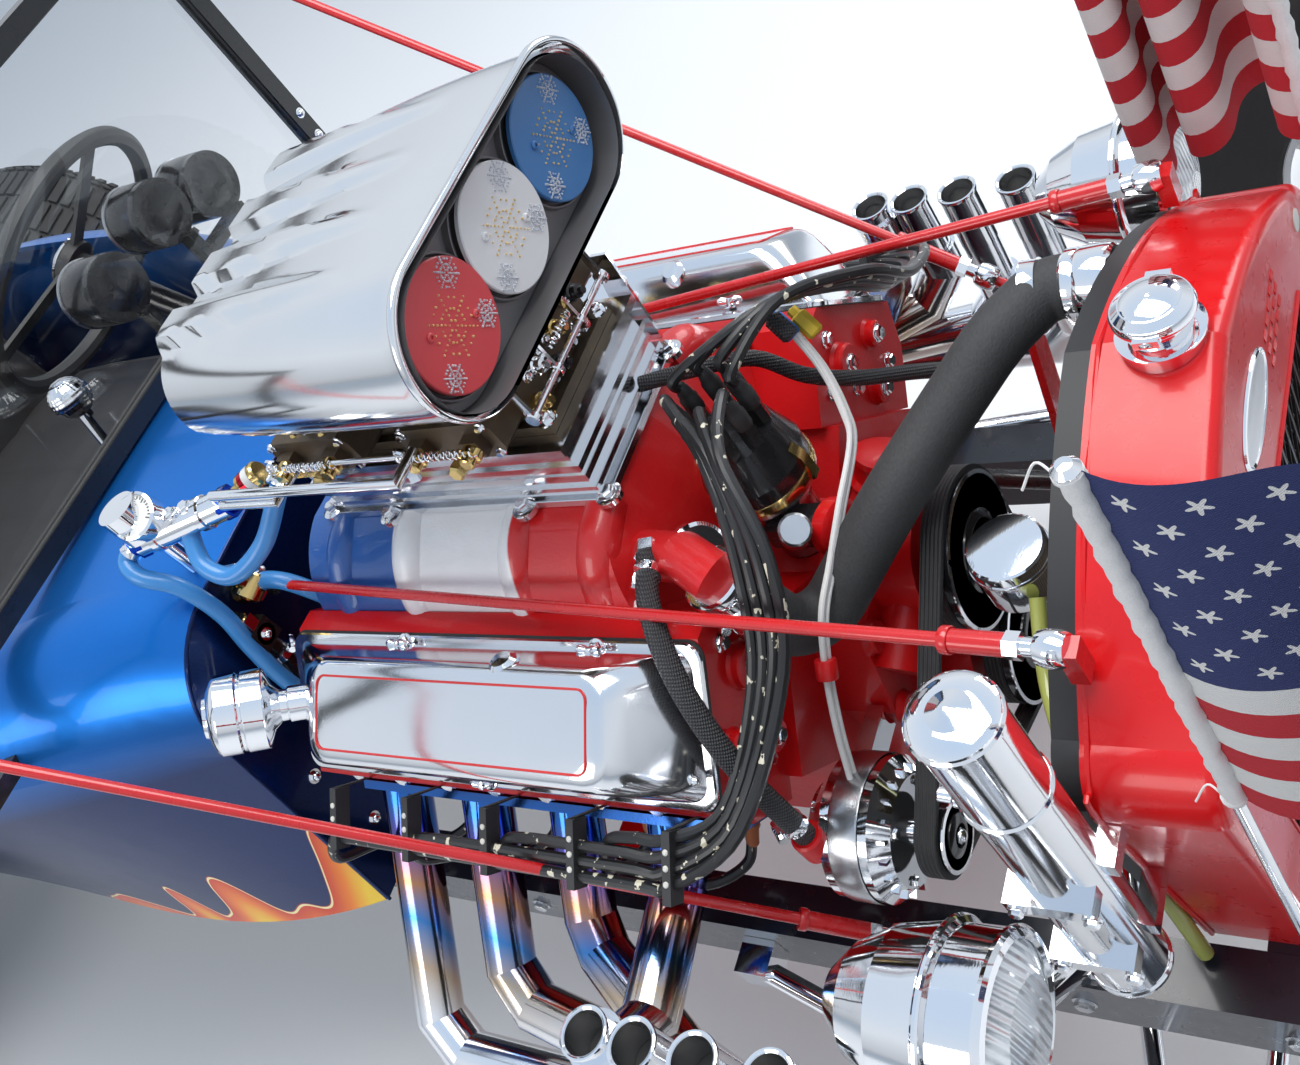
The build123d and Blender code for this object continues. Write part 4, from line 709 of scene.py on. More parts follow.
CARB_FRONT = 376
for k, y in enumerate((-50, -30, -10, 10, 30, 50)):
    small.turned([(8, -2), (8, 5), (6, 6), (6, 12), (3.5, 13), (3.5, 17)],
                 (CARB_FRONT, y, CARB_BASE + (22, 42)[k % 2]), (1, 0, 0.1), k % 3, steps=18)
    bolt(small, (CARB_FRONT, y + 8, CARB_BASE + (44, 18)[k % 2]), FORE, 4, 4, 1)
small.tube([(CARB_FRONT + 16, -78, CARB_BASE + 32), (CARB_FRONT + 16, 78, CARB_BASE + 32)], 3, 1)
for y in (-76, -26, 26, 76):
    small.turned([(6, -3), (7, -2), (7, 2), (6, 3)], (CARB_FRONT + 16, y, CARB_BASE + 32), (0, 1, 0), 1,
                 steps=18)
    small.prism([(CARB_FRONT + 12, y - 1.5, CARB_BASE + 30), (CARB_FRONT + 20, y - 1.5, CARB_BASE + 30),
                 (CARB_FRONT + 17, y - 1.5, CARB_BASE + 60),
                 (CARB_FRONT + 11, y - 1.5, CARB_BASE + 60)], (0, 3, 0), 1)
small.tube([(CARB_FRONT + 18 + 3.2 * cos(k * 0.9), -20 + 40 * k / 60, CARB_BASE + 50 + 3.2 * sin(k * 0.9))
            for k in range(61)], 0.9, 1, steps=6)
# slotted cable bracket on the plenum's left side, with its clamp bolts
BRACKET_X = 330
small.prism([(BRACKET_X, 92, 340), (BRACKET_X + 60, 92, 340), (BRACKET_X + 60, 98, 440),
             (BRACKET_X + 42, 98, 440),
             (BRACKET_X + 30, 95, 372), (BRACKET_X, 95, 372)], (0, 3, 0), 1)
for z in (384, 404, 424):
    bolt(small, (BRACKET_X + 51, 102, z), (0, 1, 0), 4.5, 4, 1)
small.piece("carb_fittings", [brass, chrome, gloss_black], "carb_bronze")


# Each valve cover is a polished casting with soft corners and sloping ends on a flanged foot. A
# fine red line runs round its top, bright studs hold it, and a stepped chrome breather plugs in.
COVER_A = 316.3
LID_IN, LID_OUT = (-58, 382), (30, 400)
FOOT_X, FOOT_T, LID_X = (15, 485), (-61, 61), (103, 439)
COVER_ROUND, CORNER_STEPS = 13, 7


def rounded(x0, x1, t0, t1, r, height):
    """A rounded rectangle on the bank; height gives a for each x and t."""
    ring = []
    for cx, ct, turn in ((x1 - r, t1 - r, 0), (x0 + r, t1 - r, 1), (x0 + r, t0 + r, 2),
                         (x1 - r, t0 + r, 3)):
        for k in range(CORNER_STEPS + 1):
            a = pi / 2 * (turn + k / CORNER_STEPS)
            x, t = cx + r * cos(a), ct + r * sin(a)
            ring.append((x, *bank(t, height(x, t))))
    return ring


def lid_a(x, t):
    """Height of the lid's plane at t, lightly crowned across."""
    middle = (LID_IN[0] + LID_OUT[0]) / 2
    half = (LID_OUT[0] - LID_IN[0]) / 2
    slope = (LID_OUT[1] - LID_IN[1]) / (LID_OUT[0] - LID_IN[0])
    return LID_IN[1] + (t - LID_IN[0]) * slope + 1.2 * (1 - ((t - middle) / half) ** 2)


def cover_ring(up, drawn_in, sunk, r):
    """The cover's outline at a share of its height, drawn in and sunk where its top edge rounds."""
    low = COVER_A + 5
    x0, x1 = (FOOT_X[k] + (LID_X[k] - FOOT_X[k]) * up for k in (0, 1))
    t0, t1 = (FOOT_T[k] + ((LID_IN[0], LID_OUT[0])[k] - FOOT_T[k]) * up for k in (0, 1))
    return rounded(x0 + drawn_in, x1 - drawn_in, t0 + drawn_in, t1 - drawn_in, r,
                   lambda x, t: low + (lid_a(x, t) - low) * up - sunk)


def flat(a):
    """The height of a level ring."""
    return lambda x, t: a


cover = Shape()
cover.skin([rounded(x, 500 - x, -t, t, r, flat(COVER_A + up)) for x, t, r, up in
            ((8, 68, 15, 0.8), (8, 68, 15, 5), (9.5, 66.5, 14, 6.4), (20, 58, 14, 6.6))])
rings = [cover_ring(0.0, 0, 0, 16), cover_ring(0.05, -0.6, 0, 17)]
rings += [cover_ring(up, -1.5 * sin(pi * up), 0, 17 + 8 * up) for up in (0.25, 0.5, 0.72, 0.86)]
for k in range(8):
    a = pi / 2 * k / 7
    rings.append(cover_ring(0.90 + 0.10 * sin(a), COVER_ROUND * (1 - cos(a)), 0.6 * (1 - sin(a)),
                            25 - 6 * (1 - cos(a))))
cover.skin(rings)
cover.skin([rounded(7, 493, -69.5, 69.5, 15, flat(a)) for a in (COVER_A - 0.2, COVER_A + 0.9)], kind=1)
STRIPE_IN = 12
stripe = rounded(LID_X[0] + STRIPE_IN, LID_X[1] - STRIPE_IN, LID_IN[0] + STRIPE_IN, LID_OUT[0] - STRIPE_IN,
                 9, lambda x, t: lid_a(x, t) + 0.1)
stripe += stripe[:2]
cover.tube(stripe, 1.1, kind=2, steps=6, ends=False)
# a boss on the inner slope, and the studs with wing heads on the flange
cover.turned([(14, -6), (13, 3), (9, 7), (0, 8)], (330, *bank(-58, COVER_A + 52)), (0, *bank(-1, 0.6)),
             steps=32)
for x, t in ((168, -62), (392, -62), (250, 62), (474, 40)):
    place = (x, *bank(t, COVER_A + 6))
    bolt(cover, place, UP_BORES, 6.5, 4.5, 3)
    cover.turned([(4, 4), (4, 13), (3, 14), (0, 14.5)], place, UP_BORES, 3, steps=16)
    for side in (-1, 1):
        cover.turned([(2.6, 0), (4, 5), (4.2, 9), (2.4, 12), (0, 13)], Vector(place) + Vector(UP_BORES) * 7,
                     (side, 0, 0.3), 3, steps=12)
BREATHER_SEAT, BREATHER_LEAN = Vector((60, *bank(-12, 362.3))), Vector((-0.66, 0.53, 0.53)).normalized()
cover.turned([(17, -6), (17, 12), (15, 14), (15, 20), (22, 27), (36, 32), (38, 34), (38, 52), (36.4, 54),
              (36.4, 56), (38, 58), (38, 76), (36, 79), (27, 84), (20, 86), (19, 89), (0, 90)],
             BREATHER_SEAT, BREATHER_LEAN, 3, steps=56)
cover.mirrored()
cover_alloy = polished("cover_alloy", (0.84, 0.85, 0.87), 0.1, 0.05)
gasket_black = moulded("gasket_black", (0.018, 0.018, 0.018))
line_red = enamel("line_red", (0.65, 0.02, 0.02), 0.3)
cover.piece("covers_polished", [cover_alloy, gasket_black, line_red, chrome], "polished_alloy",
            replaces=["valve_covers"])


# Four chrome primaries a side leave each head, gone blue and straw with heat near the ports, and
# end in upright open stacks with a rolled edge; a thick flange with bright bolts holds them.
heat_chrome = start("heated_chrome")
from_port = drawn("Y").math("ABSOLUTE").between(240, 445) + mottle(11) * 0.10
heat = Wire.node("ValToRGB", {"stops": [(0.05, (0.05, 0.07, 0.16)), (0.22, (0.03, 0.14, 0.48)),
                                        (0.36, (0.16, 0.10, 0.34)),
                                        (0.50, (0.45, 0.22, 0.12)), (0.64, (0.06, 0.22, 0.55)),
                                        (0.80, (0.55, 0.42, 0.30)),
                                        (1.0, (0.86, 0.87, 0.90))]},
                 {"Fac": from_port})
surface(Base_Color=heat, Metallic=1.0, Roughness=mottle(22) * 0.1 + 0.07,
        Normal=relief(mottle(500), 0.00003))
refinish(heat_chrome, "exhaust_headers")
STACKS, STACK_Y, STACK_TOP, STACK_R = (577, 513, 458, 412), 450, 149, 20
stacks = Shape()
for x in STACKS:
    stacks.turned([(STACK_R + 0.6, -70), (STACK_R + 0.8, -4), (STACK_R + 1.6, -1), (STACK_R + 1.2, 0.6),
                   (STACK_R - 0.5, 0.8),
                   (STACK_R - 2.4, -0.6), (STACK_R - 2.6, -39.5)], (x, STACK_Y, STACK_TOP), UP, steps=40,
                  ends=False)
    # a dark disc closes each stack's bore a little way down: soot on the pipe, and painted shade for its
    # depth beyond
    stacks.turned([(STACK_R - 2.7, -36), (STACK_R - 3.4, -39.4), (0, -39.4)], (x, STACK_Y, STACK_TOP), UP,
                  1, steps=32)
for k in range(4):
    for dx in (-34, 34):
        x = BORE_X + k * BORE_PITCH + dx
        if 30 < x < 470:
            bolt(stacks, (x, *bank(HEAD_OUT + 9.3, DECK_A + 41 - 8)), ACROSS, 6.5)
stacks.mirrored()
# sooty black that is also painted shade for the stacks' depth
soot_and_depth_shade = moulded("soot_and_depth_shade", (0.02, 0.019, 0.018), 0.8)
stacks.piece("stack_ends", [chrome, soot_and_depth_shade], "chrome")

# Each plug has its own black silicone lead with a broken cream stripe: four run side by side in
# comb separators under the cover, and each dips into a ribbed, orange-brown boot.
silicone = start("lead_silicone")
dashes = (drawn("X") * 0.42).math("SINE") > 0.1
stripe = (mottle(90) > 0.62) * dashes
surface(Base_Color=blend(stripe, (0.012, 0.012, 0.013), (0.62, 0.58, 0.46)), Roughness=0.36,
        Normal=relief(mottle(700), 0.00003))
boot_brown = moulded("boot_brown", (0.30, 0.085, 0.022), 0.42)
comb_black = moulded("comb_black", (0.016, 0.016, 0.017), 0.45)
rivet_pale = moulded("rivet_pale", (0.55, 0.54, 0.50), 0.4)

LOOM_Y, LOOM_Z, LEAD_R = 322, 185, 5.0
SIDE_BY_SIDE = ((17, -12), (7, -5), (-3, 2), (-13, 9))
leads = Shape()
for k, (x, (dy, dz)) in enumerate(zip(PLUG_X, SIDE_BY_SIDE)):
    boot_y, boot_z = bank(HEAD_OUT + 0.5, PLUG_A)
    end_y, end_z = bank(HEAD_OUT + 40, PLUG_A)
    route = [(x, end_y - 3, end_z + 3), (x - 6, end_y + 16, end_z - 10), (x - 30, end_y + 40, end_z - 4),
             (x - 58, end_y + 62, end_z + 36), (x - 62, LOOM_Y + dy + 8, LOOM_Z + dz - 38),
             (x - 44, LOOM_Y + dy + 2, LOOM_Z + dz - 6), (x - 16, LOOM_Y + dy, LOOM_Z + dz)]
    if x < 400:
        route += [(x + 30, LOOM_Y + dy, LOOM_Z + dz), (420, LOOM_Y + dy, LOOM_Z + dz)]
    route += [(462, LOOM_Y + dy - 2, LOOM_Z + dz), (522 + dy * 0.9, 288 + dy * 0.7, 206 - dz * 0.5),
              (556 + dy * 1.1, 200, 268 - dz * 0.6),
              (556 + dy * 1.1, 142, 330 - dz * 0.6), (524 + dy * 0.6, 80, 374 - dz * 0.3)]
    a = radians(22.5 + 45 * k)
    tower_x, tower_y = 480 + 29 * cos(a), 29 * abs(sin(a))
    route += [(tower_x + 2, tower_y + 3, 372), (tower_x, tower_y, 356)]
    leads.tube(curved(route, 6), LEAD_R, steps=10)
    leads.turned([(9, -1), (10.5, 2), (10.5, 5), (8.6, 7), (8.6, 9), (9.6, 10), (9.6, 12), (8.2, 13),
                  (8.2, 15), (9.2, 16),
                  (9.2, 18), (7.6, 20), (7.6, 22), (8.4, 23), (8.4, 25), (6.8, 28), (5.6, 41), (4, 43)],
                 (x, boot_y, boot_z), ACROSS, 1, steps=24)
    # rubber nipple over the cap's tower
    leads.turned([(7.6, -22), (8.2, -20), (8.2, -6), (6.6, -3), (6.6, 0), (5.4, 6), (4.4, 9)],
                 (tower_x, tower_y, 354), UP, 2,
                 steps=20)
for x in range(84, 470, 96):
    (inner_y, inner_z), (outer_y, outer_z) = ((LOOM_Y - 21, LOOM_Z + 15), (LOOM_Y + 25, LOOM_Z - 18))
    leads.prism([(x - 4, inner_y - 5, inner_z - 7), (x - 4, inner_y + 5, inner_z + 7),
                 (x - 4, outer_y + 5, outer_z + 7),
                 (x - 4, outer_y - 5, outer_z - 7)], (8, 0, 0), 2)
    for dy, dz in ((-8, 6), (2, -1), (12, -8)):
        leads.turned([(2.6, 0), (2.6, 1.4), (1.6, 2.2)], (x, LOOM_Y + dy + 4.4, LOOM_Z + dz + 6.2),
                     (0, 0.58, 0.81), 3, steps=12)
    hook_y, hook_z = bank(74, COVER_A + 2)
    leads.prism([(x - 2, inner_y - 2, inner_z - 4), (x - 2, inner_y + 2, inner_z + 4),
                 (x - 2, hook_y + 2, hook_z + 3),
                 (x - 2, hook_y - 2, hook_z - 3)], (4, 0, 0), 2)
leads.mirrored()
leads.piece("plug_lead_set", [silicone, boot_brown, comb_black, rivet_pale], "rubber",
            replaces=["plug_leads"])

# The distributor is a black moulded cap with brass-tipped towers on a bright housing; a small
# vacuum can with a red body hangs on its side.
DIST_X, DIST_BASE = 480, 165.3
refinish(gloss_black, "distributor")
ignition = Shape()
ignition.turned([(26.5, 2), (26.5, 52), (30, 56), (30, 60), (47.5, 84), (47.5, 88)], (DIST_X, 0, DIST_BASE),
                UP, steps=48)
ignition.turned([(48.4, 88), (48.4, 96), (47.4, 98)], (DIST_X, 0, DIST_BASE), UP, 1, steps=48)
ignition.turned([(12, 0), (24, 2), (25, 8), (25, 14), (20, 18), (8, 20), (7, 30), (0, 31)],
                (DIST_X + 58, -34, DIST_BASE + 60),
                (1, -0.25, 0), 2, steps=36)
ignition.turned([(14, 0), (14, 26), (12, 28), (0, 28)], (DIST_X + 40, -52, DIST_BASE + 74),
                (0.5, -0.4, 0.75), steps=28)
for side in (-1, 1):
    ignition.prism([(DIST_X + side * 48, -5, DIST_BASE + 84), (DIST_X + side * 52, -5, DIST_BASE + 86),
                    (DIST_X + side * 50, -5, DIST_BASE + 112), (DIST_X + side * 44, -5, DIST_BASE + 124)],
                   (0, 10, 0), 1)
ignition.piece("distributor_trim", [steel, brass, engine_red], "black_plastic")


# The radiator shell is a steel pressing in bright red enamel with a fine rolled bead round its
# rear edge, rows of small louvres in its brow and a plain brushed oval plate in a chrome rim.
shell_red = enamel("shell_red", (0.70, 0.005, 0.007), 0.22, 0.32, 0.00003)
refinish(shell_red, "radiator_shell")
SHELL_REAR, SHELL_FRONT, CROWN = 795, 879, 370
SHELL_HALF = ((232, -49.7), (268, 222), (260, 249), (238, 266), (185, 300), (125, 334), (62, 354), (0, 370))


def shell_edge(x, out, steps=5):
    """Points round the shell's outer edge from one foot to the other, set out from it."""
    half = curved([(x, y, z) for y, z in SHELL_HALF], steps)
    near = [Vector((x, -p.y, p.z)) for p in reversed(half[:-1])]
    line = half + near
    moved = []
    for k, p in enumerate(line):
        along = (line[min(k + 1, len(line) - 1)] - line[max(k - 1, 0)]).normalized()
        moved.append(p + Vector((0, along.z, -along.y)) * out)
    return moved


trim = Shape()
trim.tube(shell_edge(SHELL_REAR + 5, 0.4), 2.1, steps=8)
OVAL_Z = 292
oval = [(48 * cos(a), OVAL_Z + 22 * sin(a)) for a in spaced(48)]
trim.prism([(SHELL_FRONT - 1, y, z) for y, z in oval], (2.4, 0, 0), 2)
trim.tube([(SHELL_FRONT + 0.2, y, z) for y, z in oval + oval[:2]], 2.2, 1, steps=8, ends=False)
for row in range(3):
    for side in (-1, 1):
        for k in range(5):
            y, z = side * (66 + 13 * k), 262 + 13 * row + 1.2 * k
            trim.prism([(SHELL_FRONT - 1, y - 4.5, z), (SHELL_FRONT + 1.2, y - 4.5, z),
                        (SHELL_FRONT + 0.4, y - 4.5, z + 4),
                        (SHELL_FRONT - 1, y - 4.5, z + 5)], (0, 9, 0), 0)
            # a near-black strip under each louvre stands for its slot in shade: painted shade
            trim.box((SHELL_FRONT - 1, y - 4.5, z - 2), (SHELL_FRONT + 0.15, y + 4.5, z), 3)
for y, z in ((-216, 252), (216, 252), (-222, 20), (222, 20)):
    trim.turned([(9, 0), (9, 1.4), (5, 2.2), (0, 2.2)], (SHELL_FRONT - 0.4, y, z), FORE, 4, steps=24)
# rim round the grille's opening
GRILLE = ((182, -20), (206, 180), (170, 222), (-170, 222), (-206, 180), (-182, -20))
rim = [(SHELL_FRONT + 0.1, y, z) for y, z in GRILLE]
trim.tube(rim + rim[:2], 2.0, steps=8, ends=False)
# the louvres' slots in painted shade
louvre_slot_shade = moulded("louvre_slot_shade", (0.02, 0.006, 0.006))
brushed = start("brushed_plate")
brush = mottle(160, 4.0, (1.0, 0.05, 1.0))
surface(Base_Color=blend(brush, (0.60, 0.61, 0.63), (0.76, 0.77, 0.79)), Metallic=1.0,
        Roughness=brush * 0.2 + 0.25,
        Normal=relief(brush, 0.00006))
trim.piece("shell_trim", [shell_red, chrome, brushed, louvre_slot_shade, rivet_pale], "shell_paint")

# Behind the opening stands a black wire mesh in a frame; behind that is the radiator, a brass
# core with black fins between black tanks.
mesh_black = enamel("mesh_black", (0.012, 0.012, 0.012), 0.35, 0.2)
refinish(mesh_black, "grille")
screen = Shape()
MESH_X = SHELL_FRONT - 15
for k in range(-24, 25):
    y0, y1 = k * 15.5 - 60, k * 15.5 + 60
    for low_y, high_y in ((y0, y1), (y1, y0)):
        run = []
        for s in range(13):
            z = -18 + 238 * s / 12
            y = low_y + (high_y - low_y) * s / 12
            if abs(y) < 182 + min((z + 20) * 0.12, 24) and (z < 180 or abs(y) < 206 - (z - 180) * 0.86):
                run.append((MESH_X + (0.8 if low_y < high_y else -0.8), y, z))
        if len(run) > 1:
            screen.tube(run, 1.1, steps=4)
screen.piece("grille_screen", [mesh_black], "black_paint")
core_fins = start("radiator_core")
fin = (drawn("Z") * (2 * pi / 3.2)).math("SINE")
tubes = ((drawn("Y") * (2 * pi / 11)).math("SINE") > 0.55)
inner = (drawn("Y").math("ABSOLUTE") < 206) * (drawn("Z") < 216) * (drawn("Z") > 9)
dark = blend(tubes, (0.035, 0.03, 0.026), (0.16, 0.11, 0.06))
surface(Base_Color=blend(inner, (0.014, 0.014, 0.015), dark), Roughness=0.5, Metallic=inner * 0.6,
        Normal=relief(fin * inner, 0.0009))
refinish(core_fins, "radiator")

# A domed chrome cap closes the filler neck, and the overflow tank beside the shell is spun
# polished alloy with a flat dome, held in clamping straps.
refinish(chrome, "radiator_cap")
cap = Shape()
CAP_X, CAP_Z = SHELL_REAR + 46, CROWN - 8
cap.turned([(28, 13), (29, 14), (29, 16), (22, 18)], (CAP_X, 0, CAP_Z), UP, steps=48)
cap.turned([(26.6, 31.5), (27.2, 33), (27.2, 36), (26, 38.6)] + [(22 * cos(a), 39 + 8.6 * sin(a))
                                                                 for a in (0, 0.2, 0.45, 0.7, 0.95, 1.2,
                                                                           1.4, 1.57)],
           (CAP_X, 0, CAP_Z), UP, steps=48)
for side in (-1, 1):
    cap.turned([(8, 31.2), (9, 32), (9, 35), (8, 36.6)], (CAP_X, side * 23, CAP_Z), (0, side * 0.001, 1),
               steps=24)
cap.piece("cap_dome", [chrome], "chrome")
tank_alloy = polished("tank_alloy", (0.86, 0.87, 0.89), 0.08, 0.05)
refinish(tank_alloy, "overflow_tank")
TANK_X, TANK_Y, TANK_R, TANK_FOOT, TANK_TOP = 778, -296, 28, 59, 407
bands = Shape()
for z in (TANK_FOOT + 3, TANK_TOP - 5, 320):
    bands.turned([(TANK_R + 0.2, -3), (TANK_R + 1.6, -1.5), (TANK_R + 1.6, 1.5), (TANK_R + 0.2, 3)],
                 (TANK_X, TANK_Y, z),
                 UP, steps=48)
bands.turned([(TANK_R + 0.4, 1), (TANK_R, 5), (TANK_R - 4, 8.2), (14, 9.6), (0, 10)],
             (TANK_X, TANK_Y, TANK_TOP - 5), UP, 1,
             steps=64)
for z in (112, 205):
    for dx in (-24, 24):
        bolt(bands, (TANK_X + dx, TANK_Y - 32.4, z + 7), (0, -1, 0), 5, 4)
bands.turned([(7, 0), (7, 8), (5, 10), (5, 18), (4, 19)], (TANK_X - 30, TANK_Y, 300), (-1, 0, 0.2), 1,
             steps=16)
bands.piece("tank_bands", [tank_alloy, chrome], "polished_alloy")

# The top hose is thick black moulded rubber with a woven skin, held by chrome cuffs with worm
# clamps at the radiator and at the coolant outlet.
WEAVE = (600, 1.0, (1.0, 0.3, 1.0))
hose_weave = clouded("hose_weave", (*WEAVE, (0.022, 0.022, 0.023), (0.05, 0.05, 0.052)), 0.7,
                     (*WEAVE, 0.0004))
refinish(hose_weave, "radiator_hose")


def clamp(shape, foot, axis, r, width=11, kind=0):
    """A worm-drive band with its rolled edges, and the screw's housing on one side."""
    half = width / 2
    shape.turned([(r + 0.2, -half), (r + 1.5, -half), (r + 1.1, -half + 1.4), (r + 1.1, half - 1.4),
                  (r + 1.5, half), (r + 0.2, half)],
                 foot, axis, kind, steps=40)
    way = Vector(axis).normalized()
    side, other = sides(way)
    middle = Vector(foot) + side * (r + 3.4)
    shape.turned([(4, -9), (4.4, -8), (4.4, 7), (3.4, 9), (3.4, 12)], middle, other, kind, steps=10)


cuffs = Shape()
cuffs.turned([(25.6, 0), (27.8, 2), (28.6, 6), (28.6, 24), (27.6, 27), (28.4, 29), (28.4, 36), (26, 39)],
             (772, 134, 296), AFT,
             steps=56)
OUTLET, OUTLET_RUN = Vector((517, -138, 283)), Vector((13, 16, -100)).normalized()
clamp(cuffs, OUTLET + OUTLET_RUN * 14, OUTLET_RUN, 25.4, 13)
clamp(cuffs, (708, 131, 296), (-1, -0.1, 0), 25.4, 13)
cuffs.turned([(22, -26), (24, -24), (24, -8), (26, -6), (26, 0)], OUTLET, OUTLET_RUN, steps=48)
cuffs.piece("hose_cuffs", [chrome], "chrome")

# A heater hose with a red cap and a braided line cross the front, and three white wires in one
# bundle run down from beside the distributor to the alternator.
harness = Shape()
HEATER_LINE = [(437, -118, 306), (462, -168, 310), (488, -212, 288), (508, -240, 246), (522, -254, 200),
               (529, -258, 150), (531, -258, 112)]
heater_run = curved(HEATER_LINE, 8)
harness.tube(heater_run, 9.5, steps=18)
harness.turned([(12, -2), (14, 0), (14, 22), (12, 25), (0, 26)], heater_run[-1], (0.05, 0, -1), 2, steps=28)
clamp(harness, heater_run[3], heater_run[4] - heater_run[3], 9.7, 10, 1)
clamp(harness, heater_run[-6], heater_run[-5] - heater_run[-6], 9.7, 10, 1)
harness.turned([(9, -14), (11, -12), (11, 0)], heater_run[0], heater_run[1] - heater_run[0], 1, steps=6)
harness.tube(curved([(612, 150, 196), (580, 128, 224), (544, 100, 254), (516, 76, 290), (486, 68, 326),
                     (446, 44, 346), (398, 30, 350)], 7), 7, steps=16)
WIRES = ((516, 92, 336), (540, 70, 304), (556, 44, 278), (563, 20, 262), (565, -40, 252), (562, -84, 236),
         (566, -128, 232),
         (563, -158, 200), (562, -186, 160), (560, -206, 118))
for dy, dz in ((-3, 2), (3, -2), (0, 5)):
    harness.tube(curved([(x, y + dy, z + dz) for x, y, z in WIRES]), 2.6, 3, steps=10)
for foot, kind in (((514, 88, 340), 4), ((528, 98, 330), 5), ((520, 78, 350), 0)):
    harness.turned([(6, -14), (8, -12), (8, 8), (5, 10), (5, 16), (0, 17)], foot, (-0.5, 0.3, 0.6), kind,
                   steps=6)
harness.turned([(8.5, -8), (9, -7), (9, 7), (8.5, 8)], (563, -157, 203), (0, -0.7, -0.75), 2, steps=20)
sleeve_white = clouded("sleeve_white", (700, (0.80, 0.79, 0.78), (0.66, 0.65, 0.64)), 0.85,
                       (1600, 2.0, 0.0004))
braid = start("hose_braid")
slant, counter = drawn("Y") * 1.6 + drawn("X") * 1.1, drawn("Z") * 1.6 - drawn("X") * 1.1
plait = slant.math("SINE") * counter.math("SINE")
surface(Base_Color=blend(plait.between(0.2, 0.5), (0.018, 0.018, 0.02), (0.07, 0.07, 0.075)),
        Roughness=0.55, Normal=relief(plait, 0.0006))
plug_blue = moulded("plug_blue", (0.01, 0.12, 0.42))
plug_yellow = moulded("plug_yellow", (0.62, 0.44, 0.03))
harness.piece("front_harness", [braid, chrome, engine_red, sleeve_white, plug_blue, plug_yellow], "rubber")

# A flat chrome can stands between the pulleys and the radiator on a bracket of the front cover,
# and a clear yellow-green hose drops from it to the frame.
CAN = (689, -50, 196)
can = Shape()
can.turned([(24, -34), (31, -30), (32, -26), (32, 12), (31.4, 15), (29.5, 16.4), (14, 17.2), (0, 17.4)],
           CAN, UP,
           steps=56)
can.turned([(32.6, 2), (33.2, 3.2), (33.2, 5), (32.6, 6)], CAN, UP, steps=56)
can.prism([(CAN[0] - 8, CAN[1] - 4, CAN[2] - 20), (CAN[0] - 8, CAN[1] + 4, CAN[2] - 20), (636, -6, 140),
           (636, -14, 140)], (0, 0, -6), 0)
can.tube(curved([(CAN[0] + 22, CAN[1] - 28, CAN[2] - 12), (716, -128, 150), (738, -180, 142),
                 (756, -208, 118), (774, -226, 60), (792, -244, 0), (800, -252, -40)], 8), 6.5, 1)
hose_lime = clouded("hose_lime", (30, (0.30, 0.33, 0.07), (0.40, 0.42, 0.12)), 0.28, (400, 0.00003),
                    Coat_Weight=0.4)
can.piece("breather_can", [chrome, hose_lime], "chrome")


# The fuel log on the cowl is a chrome block with blue anodised ends; a round pressure gauge stands
# on its red elbow, and hard chrome lines and pale blue hoses run to the carburetors and the frame.
anodised_blue = polished("anodised_blue", (0.02, 0.10, 0.62), 0.16, 0.1)
anodised_red = polished("anodised_red", (0.60, 0.02, 0.04), 0.16, 0.1)
refinish(chrome, "fuel_rail")
hose_blue = clouded("hose_blue", (26, (0.03, 0.20, 0.52), (0.05, 0.26, 0.62)), 0.34, (500, 0.00004),
                    Coat_Weight=0.25)
LOG_START, LOG_END = Vector((-74, -168, 420)), Vector((30, -126, 420))
LOG_RUN = (LOG_END - LOG_START).normalized()
log = Shape()
log.turned([(15.3, 18), (17, 19), (17, 26), (15.4, 27), (15.4, 76), (17, 77), (17, 84), (15.3, 85)],
           LOG_START, LOG_RUN, steps=48,
           ends=False)
for foot, way in ((LOG_START, -LOG_RUN), (LOG_END, LOG_RUN)):
    log.turned([(16.4, -8), (16.4, 3)], foot, way, 1, steps=6)
    log.turned([(12, 3), (12, 8), (8, 9), (8, 15), (0, 15.5)], foot, way, 1, steps=24)
for k in range(3):
    place = LOG_START + LOG_RUN * (34 + 18 * k)
    bolt(log, place + Vector((0, 0, 15)), UP, 6, 4)
GAUGE_FOOT, GAUGE_LEAN = Vector((-57, -152, 428)), Vector((0.35, -0.45, 1.0)).normalized()
log.turned([(9, -8), (9, 6), (7, 8)], (-62, -163, 430), UP, 2, steps=6)
log.turned([(7, 0), (7, 12)], (-62, -163, 434), (0.3, 0.2, 1), 2, steps=20)
log.turned([(13, 6), (20, 9), (22, 12), (22, 26), (23.4, 27), (23.4, 31), (20.6, 32.4), (20, 30)],
           GAUGE_FOOT, GAUGE_LEAN, steps=48, ends=False)
log.turned([(20.2, 29.2), (20.2, 29.8), (0, 29.9)], GAUGE_FOOT, GAUGE_LEAN, 3, steps=40)
dial_side, dial_up = sides(GAUGE_LEAN)
for k in range(25):
    a = radians(-135 + 270 * k / 24)
    spoke = dial_side * sin(a) + dial_up * cos(a)
    across = GAUGE_LEAN.cross(spoke)
    inside = 14 if k % 6 == 0 else 16
    log.prism([GAUGE_FOOT + GAUGE_LEAN * 29.8 + spoke * r + across * w for r, w in
               ((inside, -0.5), (18.6, -0.5), (18.6, 0.5), (inside, 0.5))], GAUGE_LEAN * 0.35, 4)
needle = dial_side * sin(-1.2) + dial_up * cos(-1.2)
log.prism([GAUGE_FOOT + GAUGE_LEAN * 30.4 + needle * r + GAUGE_LEAN.cross(needle) * w for r, w in
           ((-5, -1.1), (15, -0.3), (15, 0.3), (-5, 1.1))], GAUGE_LEAN * 0.5, 2)
